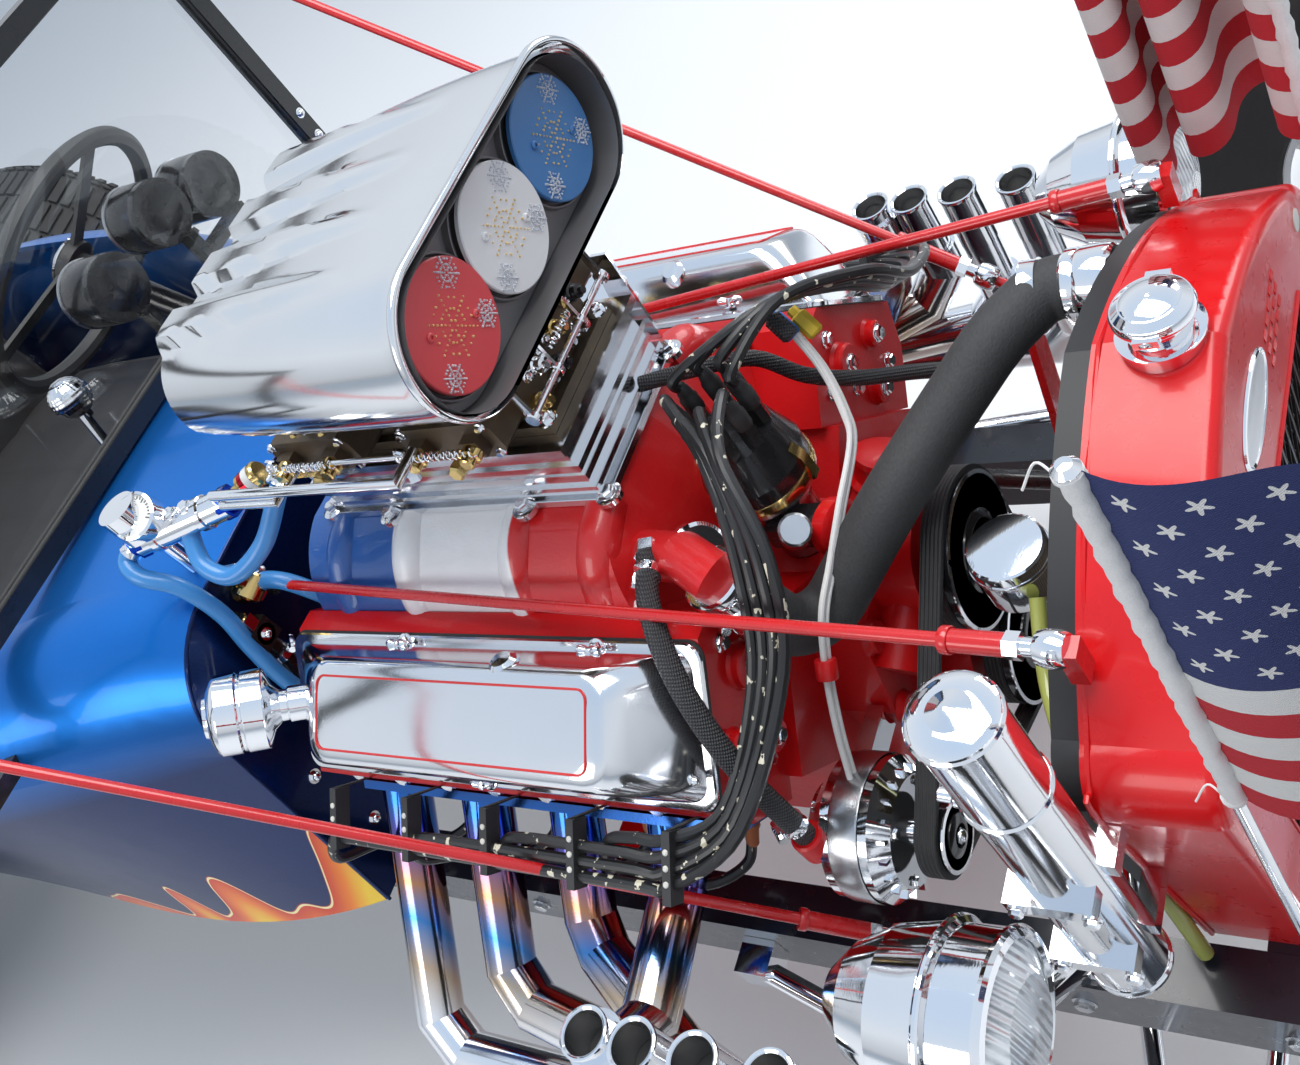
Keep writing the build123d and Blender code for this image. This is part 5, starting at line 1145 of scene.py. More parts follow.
# brass pressure switch with a banded body, on the log's front end
switch = Vector((44, -118, 424))
log.turned([(8, -4), (8, 6), (13, 8), (13, 30), (11, 32)], switch, (0.9, 0.5, 0.25), 5, steps=32)
log.turned([(13.3, 12), (13.3, 18)], switch, (0.9, 0.5, 0.25), 2, steps=32, ends=False)
log.turned([(13.3, 18), (13.3, 26)], switch, (0.9, 0.5, 0.25), 3, steps=32, ends=False)
dial_white = enamel("dial_white", (0.78, 0.78, 0.76), 0.3)
tick_black = moulded("tick_black", (0.015, 0.015, 0.015))
log.piece("fuel_log_fittings", [chrome, anodised_blue, anodised_red, dial_white, tick_black, brass],
          "chrome")

HOSE_R = 9
fuel = Shape()
for route in ([(-84, -172, 418), (-93, -186, 411), (-76, -196, 400), (-50, -190, 372), (-40, -190, 325),
               (-38, -199, 281), (-34, -206, 238), (-24, -210, 190)],
              [(-20, -146, 418), (-18, -160, 404), (-6, -176, 386), (22, -176, 372), (58, -150, 384),
               (92, -120, 418), (104, -106, 430)],
              [(-38, -142, 308), (-26, -138, 307), (-6, -136, 300), (14, -134, 280), (30, -131, 250),
               (40, -127, 218), (44, -122, 190)]):
    run = curved(route, 8)
    fuel.tube(run, HOSE_R, steps=16)
    for place, after in ((run[2], run[3]), (run[-3], run[-2])):
        clamp(fuel, place, after - place, HOSE_R + 0.2, 9, 1)
fuel.piece("fuel_hoses", [hose_blue, chrome], "hose_blue")

# The heater's brass valve is screwed to the firewall, and its black hose runs to the head with a
# worm clamp at each end.
refinish(gloss_black, "heater_hoses")
valve = Shape()
valve.turned([(14, 0), (14, 8), (10, 10), (10, 20)], (-62, -152, 308), (1, 0.4, 0), steps=6)
valve.turned([(13, -14), (15, -12), (15, 12), (13, 14), (0, 14)], (-44, -146, 310), (0.3, 0.9, 0.3),
             steps=28)
valve.turned([(8, 10), (8, 26), (11, 27), (11, 33), (0, 34)], (-44, -146, 310), (0.2, -0.3, 1), steps=8)
valve.prism([(-58, -160, 346), (-30, -150, 340), (-28, -146, 345), (-56, -156, 351)], (0, 0, 3), 1)
valve.turned([(16, 0), (16, 10), (14, 12), (14, 26), (11, 28), (0, 28)], (-58, -182, 276), FORE, steps=32)
valve.turned([(9, 0), (9, 14), (7, 15), (7, 20)], (-44, -182, 288), UP, steps=6)
valve.prism([(-34, -188, 276), (-34, -176, 276), (-30, -176, 306), (-30, -188, 306)], (2, 0, 0), 1)
dome_nut(valve, (-31, -182, 276), FORE, 5, 1)
clamp(valve, (-45, -182, 240), UP, 10.3, 9, 1)
clamp(valve, (-4, -225, 130), (1, 0, 0.1), 10.3, 9, 1)
valve.piece("heater_valve", [brass, chrome], "chrome")


# The bucket body is one steel shell in metallic blue lacquer, with red and yellow flames that lick
# back along the lower edge of its sides from the firewall.
# the navy body colour, and the lighter azure that is painted on its upper panels as a painted highlight
BODY_NAVY, BODY_LIT_AZURE = (0.004, 0.016, 0.085), (0.008, 0.17, 0.60)
FLAME_TIP, FLAME_MIDDLE = (0.60, 0.02, 0.01), (0.85, 0.20, 0.01)
FLAME_ROOT, FLAME_RIM = (0.92, 0.60, 0.03), (0.90, 0.78, 0.40)
FLAME_FRONT, FLAME_LENGTH, FLAME_FOOT = -58, 620, -50
FLAME_LOW, FLAME_RISE, FLAME_RIPPLE = 26, 128, 9
LACQUER_METAL = 0.75


def lacquer(name, flames):
    """Metallic blue under clear coat, with a painted highlight of azure over the navy high on the panels:
    bright flakes, a soft orange peel and, low down, the flames.
    """
    made = start(name)
    # painted highlight: the colour goes from navy to azure as the panel rises and turns up to the light
    painted_top_highlight = drawn("Z").between(218, 300) * (drawn("X") < FLAME_FRONT - 3)
    flakes = mottle(2600, 0.0) > 0.63
    colour = blend(flakes * 0.10, blend(painted_top_highlight * (mottle(2) * 0.2 + 0.85).clamped(), BODY_NAVY, BODY_LIT_AZURE),
                   (0.06, 0.26, 0.80))
    metal = LACQUER_METAL
    if flames:
        x, z = drawn("X"), drawn("Z")
        back = (FLAME_FRONT - x) / FLAME_LENGTH
        wave = ((x * 0.052 + (x * 0.021).math("SINE") * 1.4).math("SINE") * 0.5 + 0.5) ** 1.6
        tongues = (wave * FLAME_RISE + FLAME_LOW) + (x * 0.11).math("SINE") * FLAME_RIPPLE
        height = (1.0 - back).clamped() * tongues
        # how far below the flames' edge the point lies
        deep = height + FLAME_FOOT - z
        facing = Wire.node("SeparateXYZ", {}, {0: Wire.node("TexCoord", {}, {}, "Normal")}, "Y")
        outer = facing * drawn("Y") > 0.0
        inside = deep.between(-1.5, 1.5) * (x < FLAME_FRONT - 5) * (back < 0.97) * outer
        depth = (deep / 120).clamped()
        fire = blend(depth.between(0.0, 0.42), FLAME_TIP, FLAME_MIDDLE)
        fire = blend(depth.between(0.42, 0.9), fire, FLAME_ROOT)
        rim = deep.between(0.5, 1.5) * (1 - deep.between(4.5, 5.5))
        fire = blend(rim, fire, FLAME_RIM)
        colour = blend(inside, colour, fire)
        metal = (1 - inside) * LACQUER_METAL
    surface(Base_Color=colour, Metallic=metal, Roughness=mottle(40) * 0.06 + 0.26, Specular_IOR_Level=0.25,
            Coat_Weight=0.22, Coat_Roughness=0.04,
            Normal=relief(mottle(240), 0.00004))
    return made


body_flamed = lacquer("body_flamed", True)
body_blue = lacquer("body_blue", False)
refinish(body_flamed, "body_tub")
refinish(body_blue, "pickup_bed")
beading = Shape()
# half width and height of the cowl's sides and of its top at the firewall, and its crown
COWL_SECTION = (293, 225, 174, 345, 351)


def hull_half(side_y, side_z, top_y, top_z, crown, steps=14):
    """Y and Z round the tub's section, from the left side's top edge to the crown."""
    turns = [pi / 2 * k / steps for k in range(steps + 1)]
    corner = [(side_y - (side_y - top_y) * (1 - cos(a)), side_z + (top_z - side_z) * sin(a)) for a in turns]
    return corner + [(top_y * (1 - k / 8), top_z + (crown - top_z) * (1 - (1 - k / 8) ** 2))
                     for k in range(1, 9)]


edge = [(FLAME_FRONT + 0.5, y, z) for y, z in [(326, -49)] + hull_half(*COWL_SECTION)]
edge += [(x, -y, z) for x, y, z in reversed(edge[:-1])]
beading.tube(edge, 2.2, steps=8)
for y, z in ((262, 120), (262, 20), (120, 318), (236, 240)):
    for side in (-1, 1):
        dome_nut(beading, (FLAME_FRONT - 1.7, side * y, z), FORE, 6, 1)
beading.piece("firewall_trim", [body_blue, chrome], "body_paint")

# Inside, the floor and tunnel are carpeted. The dash is gloss black, and its three round cups hold
# gauges with dark faces, white ticks and a red needle.
carpet = clouded("carpet", (900, 4.0, (0.012, 0.012, 0.014), (0.045, 0.045, 0.05)), 0.95,
                 (900, 4.0, 0.0015))
leather = start("leather")
pores = mottle(700, 4.0)
surface(Base_Color=blend(mottle(12), (0.020, 0.019, 0.019), (0.034, 0.032, 0.031)),
        Roughness=pores * 0.16 + 0.42,
        Normal=relief(pores, 0.0004))
refinish(carpet, "cockpit_floor")
refinish(gloss_black, "dash")

# The shifter stands in a pleated leather boot on the tunnel. Its chrome lever leans back and to
# the left, and its round knob is knurled.
KNOB_FOOT, KNOB_LEAN, KNOB_R, KNURLS = Vector((-453, 62, 376)), Vector((-0.09, 0.19,
                                                                        0.98)).normalized(), 26, 12
lever = Shape()
pleats = []
for k in range(17):
    share = k / 16
    swell = 1 + 0.07 * (-1) ** k
    reach_x, reach_y = (44 - 32 * share ** 0.7) * swell, (34 - 23 * share ** 0.7) * swell
    pleats.append([(-420 - 4 * share + reach_x * abs(cos(a)) ** 0.6 * (1 if cos(a) > 0 else -1),
                    reach_y * abs(sin(a)) ** 0.6 * (1 if sin(a) > 0 else -1), 140.4 + 45 * share)
                   for a in spaced(32, pi / 32)])
lever.skin(pleats, 1)
lever.tube([(-424, 0, 180), (-438, 30, 280), (-452, 60, 380)], 7, steps=20)
lever.turned([(8, -6), (9.5, -4), (9.5, 3), (8, 5)], KNOB_FOOT, KNOB_LEAN, steps=6)
knob_side, knob_other = sides(KNOB_LEAN)
ball = []
for k in range(45):
    lat = -pi / 2 + pi * k / 44
    ring = []
    for a in spaced(96):
        r = KNOB_R + 0.7 * sin(KNURLS * (a + lat)) * sin(KNURLS * (a - lat)) * cos(lat)
        outward = (knob_side * cos(a) + knob_other * sin(a)) * max(r * cos(lat), POINT_R)
        ring.append(KNOB_FOOT + KNOB_LEAN * (KNOB_R + r * sin(lat)) + outward)
    ball.append(ring)
lever.skin(ball, 0)
lever.piece("shifter_lever", [chrome, leather], "chrome", replaces=["shifter"])
CUPS = ((174, 466), (290, 476), (372, 446))
gauges = Shape()
for y, z in CUPS:
    gauges.turned([(41, 0), (43.4, 1), (43.4, 5), (41, 7), (38, 6.4), (37, 0)], (-420, y, z), AFT, steps=56)
    gauges.turned([(37, 10), (37, 10.6), (0, 10.6)], (-420, y, z), FORE, 1, steps=48)
    gauges.turned([(41.6, 0), (42.6, 4), (42.6, 46), (40, 54), (30, 58), (0, 59)], (-420, y, z), FORE, 2,
                  steps=56)
    for k in range(31):
        a = radians(-135 + 270 * k / 30)
        r0 = 26 if k % 5 == 0 else 30
        u, v = sin(a), cos(a)
        gauges.prism([(-409.8, y - u * r - v * w, z + v * r - u * w)
                      for r, w in ((r0, -0.7), (34, -0.7), (34, 0.7), (r0, 0.7))],
                     (-0.5, 0, 0), 3)
    gauges.prism([(-410.4, y + 14 + w, z - 16 + h)
                  for w, h in ((12, -14), (13, -12.6), (-19, 18), (-21, 21), (-18, 19))],
                 (-0.6, 0, 0), 4)
    gauges.turned([(5, 0), (5, 2), (0, 2.4)], (-410, y, z), AFT, 2, steps=20)
grey_rim = polished("grey_rim", (0.42, 0.43, 0.45), 0.25, 0.08)
gauges.turned([(9, 0), (12, 3), (12, 14), (10, 17), (0, 17.5)], (-352, -60, 330), AFT, steps=14)
gauges.piece("gauge_faces", [grey_rim, tick_black, gloss_black, dial_white, anodised_red], "black_plastic")

# The seat is a bench of black hide on two foam pads: piped edges, pulled-in sides and eight sewn
# channels across each.
def pad(name, low, high, lean, channels, node):
    """A crowned pad between two corners; lean moves its top back and channels run along x or up."""
    (x0, y0, z0), (x1, y1, z1) = low, high
    nx, ny, nz = 14, 96, 8
    made = Shape()

    def place(u, v, w):
        """u, v and w run from -1 to 1 across the pad's length, width and height."""
        pull = 1 - 0.02 * (1 - w * w) * abs(v) ** 2
        x = (x0 + x1) / 2 + (x1 - x0) / 2 * u * (0.965 + 0.035 * sqrt(max(1 - w * w,
                                                                          0))) * (1 - 0.02 * abs(v) ** 6)
        y = (y0 + y1) / 2 + (y1 - y0) / 2 * v * (0.985 + 0.015 * sqrt(max(1 - w * w, 0))) * pull
        crown = (1 - u * u) * 0.10 + (1 - v * v) * 0.05 + 0.85
        dip = abs(cos(pi * channels * (v + 1) / 2)) ** 0.5
        return x, y, crown, dip

    rings = []
    for j in range(ny + 1):
        v = -1 + 2 * j / ny
        ring = []
        loop = [(-1 + 2 * k / nx, -1) for k in range(nx)] + [(1, -1 + 2 * k / nz) for k in range(nz)]
        loop += [(1 - 2 * k / nx, 1) for k in range(nx)] + [(-1, 1 - 2 * k / nz) for k in range(nz)]
        squeeze = 1 - abs(v) ** 10 * 0.35
        for u, w in loop:
            corner = max(abs(u), abs(w))
            length = hypot(u, w)
            soft = 0.86 + 0.14 * corner / max(length, 0.001)
            uu, ww = u * soft, w * soft
            x, y, crown, dip = place(uu, v, ww)
            if lean == 0:
                top = (z1 - z0) * (crown * (0.965 + 0.035 * dip) if ww > 0 else 0.5)
                z = (z0 + z1) / 2 + (top - (z1 - z0) / 2 if ww > 0 else (z1 - z0) / 2) * ww * squeeze
                z = max(z, z0 + 0.5)
            else:
                share = (ww + 1) / 2
                thick = (x1 - x0) / 2 * crown * (0.94 + 0.06 * dip) * (1 - abs(ww) ** 8 * 0.3) * squeeze
                z = z0 + (z1 - z0) * share
                x = (x0 + x1) / 2 - lean * share + thick * uu
            ring.append((x, y, z))
        rings.append(ring)
    made.skin(rings)
    for piping in (rings[0], rings[ny]):
        made.tube(piping + piping[:2], 3.2, steps=6, ends=False)
    return made.piece(name, [leather], "trim_black", replaces=[node] if node else (), crease=60)


SEAT_HALF = 374
cushion = pad("seat_cushion", (-1094, -SEAT_HALF, 96.6), (-659, SEAT_HALF, 206), 0, 8, "seat")
backrest = pad("seat_backrest", (-1152, -SEAT_HALF, 98), (-1106, SEAT_HALF, 428), 20, 8, None)

# The steering wheel has a black rim on three drilled spokes and a chrome hub with six small bolts;
# its column and box are painted black.
refinish(gloss_black, "steering_column")
wheel_grip = clouded("wheel_grip", (900, (0.016, 0.016, 0.016), (0.03, 0.03, 0.03)), 0.5, (900, 0.0004))
refinish(wheel_grip, "steering_wheel")
HUB, KNEE = Vector((-520, 240, 470)), Vector((-30, 236, 6))
COLUMN = (HUB - KNEE).normalized()
hub = Shape()
hub.turned([(33, 7), (34, 9), (30, 12), (16, 15), (14, 20), (0, 21)], HUB, COLUMN, steps=40)
side, other = sides(COLUMN)
for a in spaced(6):
    spot = HUB + (side * cos(a) + other * sin(a)) * 24 + COLUMN * 8
    bolt(hub, spot, COLUMN, 3.6, 4)
hub.piece("wheel_hub", [chrome], "chrome")

# The windshield is flat laminated glass in a square black frame that stands on two side legs. A
# black gasket runs round the glass on both faces, and chrome nuts stand down the sides.
frame_black = enamel("frame_black", (0.012, 0.012, 0.013), 0.22, 0.6, 0.00005)
refinish(frame_black, "windshield_frame")
pane = start("windshield_pane")
surface(Base_Color=blend(mottle(3), (0.86, 0.93, 0.91), (0.82, 0.90, 0.88)), Roughness=mottle(6) * 0.02,
        Transmission_Weight=1.0,
        IOR=1.45, Alpha=mottle(4) * 0.03 + 0.05)
refinish(pane, "windshield_glass")
WIND_X, WIND_HALF, WIND_LOW, WIND_TOP, WIND_BAR = -287, 496, 384, 756, 24
gasket = Shape()
inner_y, low_z, top_z = WIND_HALF - WIND_BAR, WIND_LOW + WIND_BAR - 2, WIND_TOP - WIND_BAR
for side in (-1, 1):
    loop = [(WIND_X + side * 5, y, z) for y,
            z in ((-inner_y, low_z), (inner_y, low_z), (inner_y, top_z), (-inner_y, top_z))]
    gasket.tube(loop + loop[:2], 2.6, steps=8, ends=False)
for y in (-WIND_HALF + 10, WIND_HALF - 10):
    for z in (404, 440, 700, 736):
        dome_nut(gasket, (WIND_X + 9.7, y, z), FORE, 5, 1)
        dome_nut(gasket, (WIND_X - 9.7, y, z), AFT, 5, 1)
gasket.piece("windshield_gasket", [gasket_black, chrome], "black_paint")

# Red stay rods with black swivel joints run from the windshield and firewall forwards; at the
# shell each screws into a thicker red sleeve with chrome collars and a rod end.
STAY_RED = (0.62, 0.012, 0.014)
stay_red = enamel("stay_red", STAY_RED, 0.2, 0.7, 0.00003)
refinish(stay_red, "stay_rods")
stays = Shape()


def stay(first, last, sleeve_from, sleeve_to, joints):
    """A sleeve with collars over part of a rod, and swivel joints at shares of its length."""
    first, last = Vector(first), Vector(last)
    run = last - first
    way = run.normalized()
    stays.tube([first + run * sleeve_from, first + run * sleeve_to], 8, steps=20)
    stays.turned([(9, -3), (9.6, -2), (9.6, 3), (9, 4)], first + run * sleeve_from, way, steps=24)
    stays.turned([(9.5, -1), (9.5, 9)], first + run * sleeve_to, way, 1, steps=6)
    stays.turned([(6.5, 9), (6.5, 17), (11, 20), (12.6, 26), (12.6, 34), (10.5, 39), (0, 41)],
                 first + run * sleeve_to, way, 1, steps=24)
    for share in joints:
        spot = first + run * share
        stays.turned([(7, -14), (8, -12), (8, 12), (7, 14)], spot, way, 2, steps=20)
        stays.turned([(11, -6), (12, -4), (12, 4), (11, 6)], spot, (way.y, -way.x, 0.2), 2, steps=24)


for side in (-1, 1):
    stay((-57, side * 134, 297), (802, side * 207, 327), 0.905, 0.955, (0.03,))
stay((-272, -486, 700), (585, -278, -44), 0.90, 0.95, (0.02,))
stay((-272, 486, 700), (600, 315, 123), 0.88, 0.94, (0.02,))
stays.piece("stay_sleeves", [stay_red, chrome, gloss_black], "stay_red")


# The headlamps are chrome bullet buckets with a seam ring and a fluted glass lens in a bright rim;
# two bolts hold each bracket.
refinish(chrome, "headlamps")
lens_glass = start("lens_glass")
flutes = (drawn("Y") * (2 * pi / 7)).math("SINE")
surface(Base_Color=blend(mottle(20), (0.86, 0.90, 0.92), (0.78, 0.83, 0.86)),
        Roughness=mottle(40) * 0.04 + 0.04, Metallic=0.35,
        Coat_Weight=1.0, Normal=relief(flutes, 0.0009))
refinish(lens_glass, "headlamp_lenses")
LAMP = (712, 390, 168)
lamps = Shape()
lamps.turned([(62, 34), (64.4, 35), (65, 38), (63, 41), (58, 42.4), (55.6, 40)], LAMP, FORE, steps=72,
             ends=False)
lamps.turned([(65.2, -3.6), (66.4, -2), (66.4, 0.4), (65.2, 2)], LAMP, FORE, steps=72, ends=False)
lamps.turned([(13, -2), (16, 0), (16, 10), (12.6, 14)], (712, 388, 116), (0, 0.12, -1), steps=32)
bolt(lamps, (LAMP[0] - 16, 271, -42), UP, 6, 4)
bolt(lamps, (LAMP[0] + 16, 271, -42), UP, 6, 4)
lamps.mirrored()
lamps.piece("lamp_rims", [chrome], "chrome")

# Behind the cab stand a short blue pickup bed with bright studs along its sides, its fuel tank
# under two straps, and two round red lamps in chrome rings.
refinish(plenum_alloy, "fuel_tank")
lamp_red = start("lamp_red")
cells = (drawn("Y") * 1.2).math("SINE") * (drawn("Z") * 1.2).math("SINE")
surface(Base_Color=blend(mottle(30), (0.55, 0.008, 0.008), (0.70, 0.02, 0.015)), Roughness=0.12,
        Coat_Weight=0.8,
        Normal=relief(cells, 0.0005))
refinish(lamp_red, "tail_lamps")
REAR_X, BED_TOP = -1900, 372
bed = Shape()
for side in (-1, 1):
    lamp = (REAR_X - 0.3, side * 300, 250)
    bed.turned([(43, 0), (46, 1), (46, 14), (42.4, 18), (42.2, 8)], lamp, AFT, 1, steps=56, ends=False)
    for k in range(5):
        x = REAR_X + 60 + 115 * k
        bed.turned([(5, 0), (5, 2), (2.5, 3.6), (0, 3.8)], (x, side * 444, BED_TOP - 7), (0, side, 0), 1,
                   steps=16)
bed.tube([(REAR_X - 4.4, -442, BED_TOP - 1.6), (REAR_X - 4.4, 442, BED_TOP - 1.6)], 1.5, steps=8)
bed.turned([(31, 0), (34, 2), (34, 14), (30, 18), (10, 20), (0, 20)], (REAR_X + 280, 200, 304), UP, 1,
           steps=40)
for side in (-1, 1):
    # straps over the tank
    y = side * 130
    bed.prism([(REAR_X + 98.8, y + w, z) for w, z in ((-14, 122), (14, 122), (14, 254), (-14, 254))],
              (-1.6, 0, 0), 2)
bed.piece("bed_trim", [body_blue, chrome, steel], "body_paint")


# The chassis rails, axles and links are gloss-black steel; the drive line is cast alloy, the front
# axle and its rods are chromed, and each coil-over shock has a red spring.
chassis_black = enamel("chassis_black", (0.010, 0.012, 0.020), 0.22, 0.6, 0.00006)
cast_alloy = clouded("cast_alloy", (20, (0.42, 0.42, 0.43), (0.30, 0.30, 0.31)), (50, 0.2, 0.34),
                     (420, 0.0003), Metallic=0.85)
refinish(chassis_black, "frame_rails", "frame_crossmembers", "rear_axle", "pitman_arm")
refinish(cast_alloy, "driveline")
refinish(chrome, "front_axle", "link_rods", "knuckle_left", "knuckle_right", "tie_rod", "drag_link",
         "coilovers")
refinish(chassis_black, "front_spring")
springs = Shape()
LOW, HIGH = Vector((-1664, 338, -95)), Vector((-1664, 318, 70))
climb = (HIGH - LOW).normalized()
side, other = sides(climb)
TURNS, SPRING_R, WIRE_R = 7, 31, 4.5
reach = (HIGH - LOW).length - 76
coil = [(k * pi / 10, 52 + reach * k / (TURNS * 20)) for k in range(TURNS * 20 + 1)]
springs.tube([LOW + climb * up + (side * cos(a) + other * sin(a)) * SPRING_R for a, up in coil], WIRE_R,
             steps=8)
springs.mirrored()
springs.piece("shock_springs", [stay_red], "stay_red")
under = Shape()
for side in (-1, 1):
    for x in (-1250, -700, -100, 120, 560, 700, 860):
        bolt(under, (x, side * 290, -88), (0, side, 0), 8)
for a in spaced(8, 0.2):
    bolt(under, (-1705, 98 * cos(a), -55 + 98 * sin(a)), AFT, 6)
for x in range(30, 480, 56):
    for side in (1, -1):
        bolt(under, (x, side * 100, -66), (0, side * 0.4, -1), 5.5)
under.piece("chassis_bolts", [steel], "chrome")

# Each wheel is a polished alloy five-spoke with a deep lip, closed by a chrome centre cap and five
# nuts; the tyres are plain black rubber with a moulded tread.
wheel_alloy = polished("wheel_alloy", (0.80, 0.81, 0.83), 0.1, 0.05)
tyre_rubber = clouded("tyre_rubber", (9, (0.016, 0.016, 0.016), (0.030, 0.029, 0.028)), (9, 0.15, 0.7),
                      (500, 4.0, 0.0003))
RIM_R = 195
GROOVE = 7
# end of the car, axle's x and z, tyre's half size and width, face of the wheel's disc, half the track
WHEELS = (("front", 960, -120, 330, 130, 16, 700), ("rear", -1580, -55, 395, 280, 0, 720))


def tread(shape, centre, r, width):
    """Rows of moulded blocks round the tread, ribs on both shoulders, and the wall's rings."""
    x, y, z = centre
    flats = 96
    half = width / 2
    grooves = (-0.34, 0, 0.34) if width < 200 else (-0.38, -0.13, 0.13, 0.38)
    edges = [-half + 24] + [g * width + s for g in grooves for s in (-4, 4)] + [half - 24]
    for low, high in zip(edges[::2], edges[1::2]):
        for k in range(flats):
            a, b = 2 * pi * (k + 0.14) / flats, 2 * pi * (k + 0.86) / flats
            skew = 2 * pi * 0.3 / flats
            shape.add([(x + rr * cos(t + s), yy, z + rr * sin(t + s)) for rr in (r - GROOVE - 1, r - 0.2)
                       for t, yy, s in ((a, y + low, 0), (b, y + low, 0), (b, y + high, skew),
                                        (a, y + high, skew))],
                      [(4, 5, 6, 7), (0, 1, 5, 4), (1, 2, 6, 5), (2, 3, 7, 6), (3, 0, 4, 7)])
    for side in (-1, 1):
        # blocks wrapping each shoulder
        for k in range(flats):
            a, b = 2 * pi * (k + 0.2) / flats, 2 * pi * (k + 0.74) / flats
            shape.add([(x + rr * cos(t), y + side * yy, z + rr * sin(t)) for rr, yy in
                       ((r - GROOVE - 1, half - 21), (r - 1.4, half - 20), (r - 14, half - 5),
                        (r - 22, half - 9)) for t in (a, b)],
                      [(0, 1, 3, 2), (2, 3, 5, 4), (4, 5, 7, 6), (0, 2, 4, 6), (1, 7, 5, 3)])
    wall_r = RIM_R + 0.62 * (r - RIM_R)
    wall = [(RIM_R + 0.3, half - 24), (RIM_R + 0.3, half - 9), (RIM_R + 5, half - 5),
            (wall_r - 22, half - 2), (wall_r, half - 0.3),
            (wall_r + 16, half - 0.8), (r - 20, half - 7), (r - GROOVE - 1, half - 20),
            (r - GROOVE, half - 30)]
    shape.turned(wall + [(rr, -yy) for rr, yy in reversed(wall)] + [wall[0]], (x, y, z), (0, 1, 0),
                 steps=96, ends=False)
    for side in (-1, 1):
        for ring_r, high in ((wall_r - 12, 2.6), (wall_r - 40, 2.4)):
            face = y + side * (half - 3 - 5 * (wall_r - ring_r) / (wall_r - RIM_R))
            shape.turned([(ring_r - 3, -1), (ring_r - 2, high), (ring_r + 2, high), (ring_r + 3, -1)],
                         (x, face, z), (0, side, 0),
                         steps=72, ends=False)


for end, x, z, r, width, disc_y, track in WHEELS:
    for word, side in (("left", 1), ("right", -1)):
        y = side * track
        refinish(wheel_alloy, f"{end}_rim_{word}")
        rubber = Shape()
        tread(rubber, (x, y, z), r, width)
        rubber.piece(f"{end}_tread_{word}", [tyre_rubber], "tyre", body=f"{end}_wheel_{word}",
                     replaces=[f"{end}_tyre_{word}"])
        metal = Shape()
        face = y + side * (disc_y + 26)
        metal.turned([(35, -2), (36, 4), (33, 14), (24, 22), (10, 26), (0, 26.5)], (x, face, z),
                     (0, side, 0), steps=48)
        metal.turned([(53, 0), (53.6, 2), (50, 5), (36, 7)], (x, y + side * (disc_y + 13.6), z),
                     (0, side, 0), 1, steps=48)
        for a in spaced(5, pi / 5):
            dome_nut(metal, (x + 43 * sin(a), y + side * (disc_y + 18), z + 43 * cos(a)), (0, side, 0), 6.5,
                     0)
        for across in (-1, 1):
            edge = y + across * (width / 2 - (13 if width < 200 else 20))
            metal.turned([(RIM_R - 8, -3), (RIM_R - 6, 0.5), (RIM_R - 1, 1.2), (RIM_R - 0.4, -1)],
                         (x, edge, z), (0, across, 0), 1,
                         steps=96, ends=False)
        metal.piece(f"{end}_wheel_trim_{word}", [chrome, wheel_alloy], "polished_alloy",
                    body=f"{end}_wheel_{word}")


# Two small printed cloth flags hang from thin chrome poles on the frame rails ahead of the shell:
# red and white stripes, a navy corner with rows of white stars and a sewn white sleeve.
FLAG_LONG, FLAG_HIGH = 457, 305
POLE_X, POLE_Y, POLE_TOP, POLE_FOOT, HOIST_TOP = 893, 272, 590, -49.5, 585
STRIPES, CORNER_LONG, CORNER_STRIPES = 13, 0.40, 7
CLOTH_RED, CLOTH_WHITE, CLOTH_NAVY = (0.55, 0.012, 0.025), (0.80, 0.79, 0.77), (0.016, 0.028, 0.13)
STAR_COLUMNS, STAR_ROWS, STAR_REACH = 12, 10, 6.2

flag_cloth = start("flag_cloth")
u = Wire.node("Attribute", {"attribute_name": "along"}, {}, "Fac")
v = Wire.node("Attribute", {"attribute_name": "down"}, {}, "Fac")
colour = blend((v * (pi * STRIPES)).math("SINE") > 0, CLOTH_WHITE, CLOTH_RED)
column = u * (STAR_COLUMNS / CORNER_LONG)
row = v * (STAR_ROWS * STRIPES / CORNER_STRIPES)
# the nearest star of the staggered rows, and how far the point lies from it in millimetres
first = ((column + row) * 0.5 + 0.5).math("FRACT") - 0.5
second = ((column - row) * 0.5 + 0.5).math("FRACT") - 0.5
aside = (first + second) * (FLAG_LONG * CORNER_LONG / STAR_COLUMNS)
below = (first - second) * (FLAG_HIGH * CORNER_STRIPES / STRIPES / STAR_ROWS)
off = (aside * aside + below * below).math("SQRT")
ray = (aside.math("ARCTAN2", below) * 2.5).math("COSINE").math("ABSOLUTE")
star = (off < (ray * ray * ray * 0.60 + 0.36) * STAR_REACH) * (column > 0.5) * (column < STAR_COLUMNS - 0.5)
star = star * (row > 0.5) * (row < STAR_ROWS - 0.5)
corner = (u < CORNER_LONG) * (v < CORNER_STRIPES / STRIPES)
colour = blend(corner, colour, blend(star, CLOTH_NAVY, CLOTH_WHITE))
threads = (u * (FLAG_LONG * 4)).math("SINE") * (v * (FLAG_HIGH * 4)).math("SINE")
surface(Base_Color=blend(mottle(1500, 1.0) * 0.12, colour, (0.08, 0.08, 0.08)), Roughness=0.82,
        Normal=relief(threads, 0.00025))

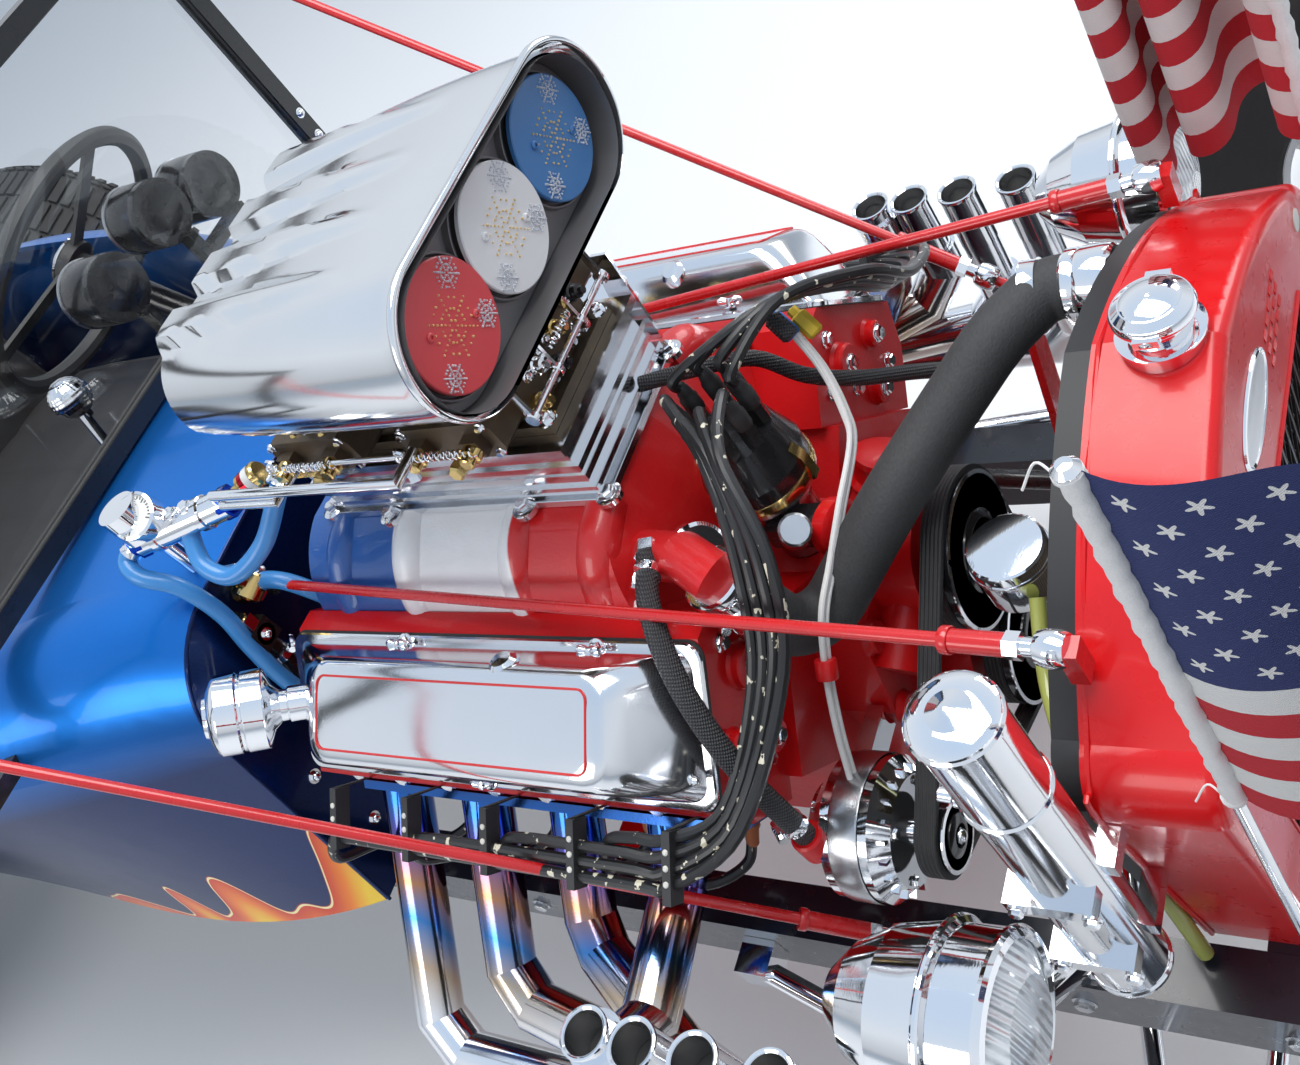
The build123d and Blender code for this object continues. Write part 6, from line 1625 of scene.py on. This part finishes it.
poles = Shape()
rise = POLE_TOP - POLE_FOOT
for side in (-1, 1):
    y = side * POLE_Y
    poles.turned([(4, 0)] + [(r, rise - down) for r, down in ((4, 10), (6, 9), (7, 4), (4, 0.6), (0, 0.2))],
                 (POLE_X, y, POLE_FOOT), UP, steps=20)
    poles.turned([(11, 0), (11, 4), (7, 9), (4, 11)], (POLE_X, y, POLE_FOOT), UP, steps=24)
poles.piece("flag_poles", [chrome], "chrome", replaces=["flags"])


def flag(name, side, onward, fold_from, fold_to, folds, heading, droop):
    """Cloth on its hoist: its threads swing from side to side in plan and slide down towards the fly."""
    across, down = 72, 36
    points, ways = [], []
    for j in range(down + 1):
        v = j / down
        x = y = sunk = 0.0
        for i in range(across + 1):
            u = i / across
            points.append((POLE_X + onward * (5.5 + x), side * POLE_Y + y,
                           HOIST_TOP - v * FLAG_HIGH - sunk))
            ways.append((u, v))
            slope = droop * min(u * 3, 1)
            step = FLAG_LONG / across
            bend = (fold_from + (fold_to - fold_from) * u) * sin(2 * pi * folds * u ** 1.1 + 0.5 * v * u)
            swing = heading * (1 - u) + bend
            x += step * sqrt(1 - slope * slope) * cos(swing)
            y += step * sqrt(1 - slope * slope) * sin(swing)
            sunk += step * slope
    row = across + 1
    cloth = Shape()
    cloth.add(points, [(j * row + i, j * row + i + 1, (j + 1) * row + i + 1, (j + 1) * row + i)
                       for j in range(down) for i in range(across)])
    hung = cloth.piece(name, [flag_cloth], "flag_cloth", crease=80)
    for k, word in enumerate(("along", "down")):
        kept = hung.data.attributes.new(word, "FLOAT", "POINT")
        kept.data.foreach_set("value", [way[k] for way in ways])
    hem = Shape()
    hem.tube([(POLE_X + 1.2 * onward * (k % 2), side * POLE_Y, HOIST_TOP + 1 - (FLAG_HIGH + 2) * k / 40)
              for k in range(41)], 6.2,
             steps=14, widths=[1 + 0.08 * sin(k * 1.7) for k in range(41)])
    for z in (HOIST_TOP - 2, HOIST_TOP - FLAG_HIGH + 4):
        hem.turned([(6.4, -1.4), (7.4, -1), (7.4, 1), (6.4, 1.4)], (POLE_X, side * POLE_Y, z), UP, steps=14)
        hem.tube(curved([(POLE_X - 6 * onward, side * POLE_Y, z),
                         (POLE_X - 14 * onward, side * POLE_Y + 4, z + 3),
                         (POLE_X - 22 * onward, side * POLE_Y - 2, z - 8)], 5), 0.7, steps=5)
    sleeve = hem.piece(f"{name}_sleeve", [sleeve_white], "flag_cloth")


flag("flag_near", -1, 1, 0.6, 2.1, 2.4, -0.5, 0.43)
flag("flag_far", 1, -1, 1.5, 2.1, 2.4, 0.3, 0.17)
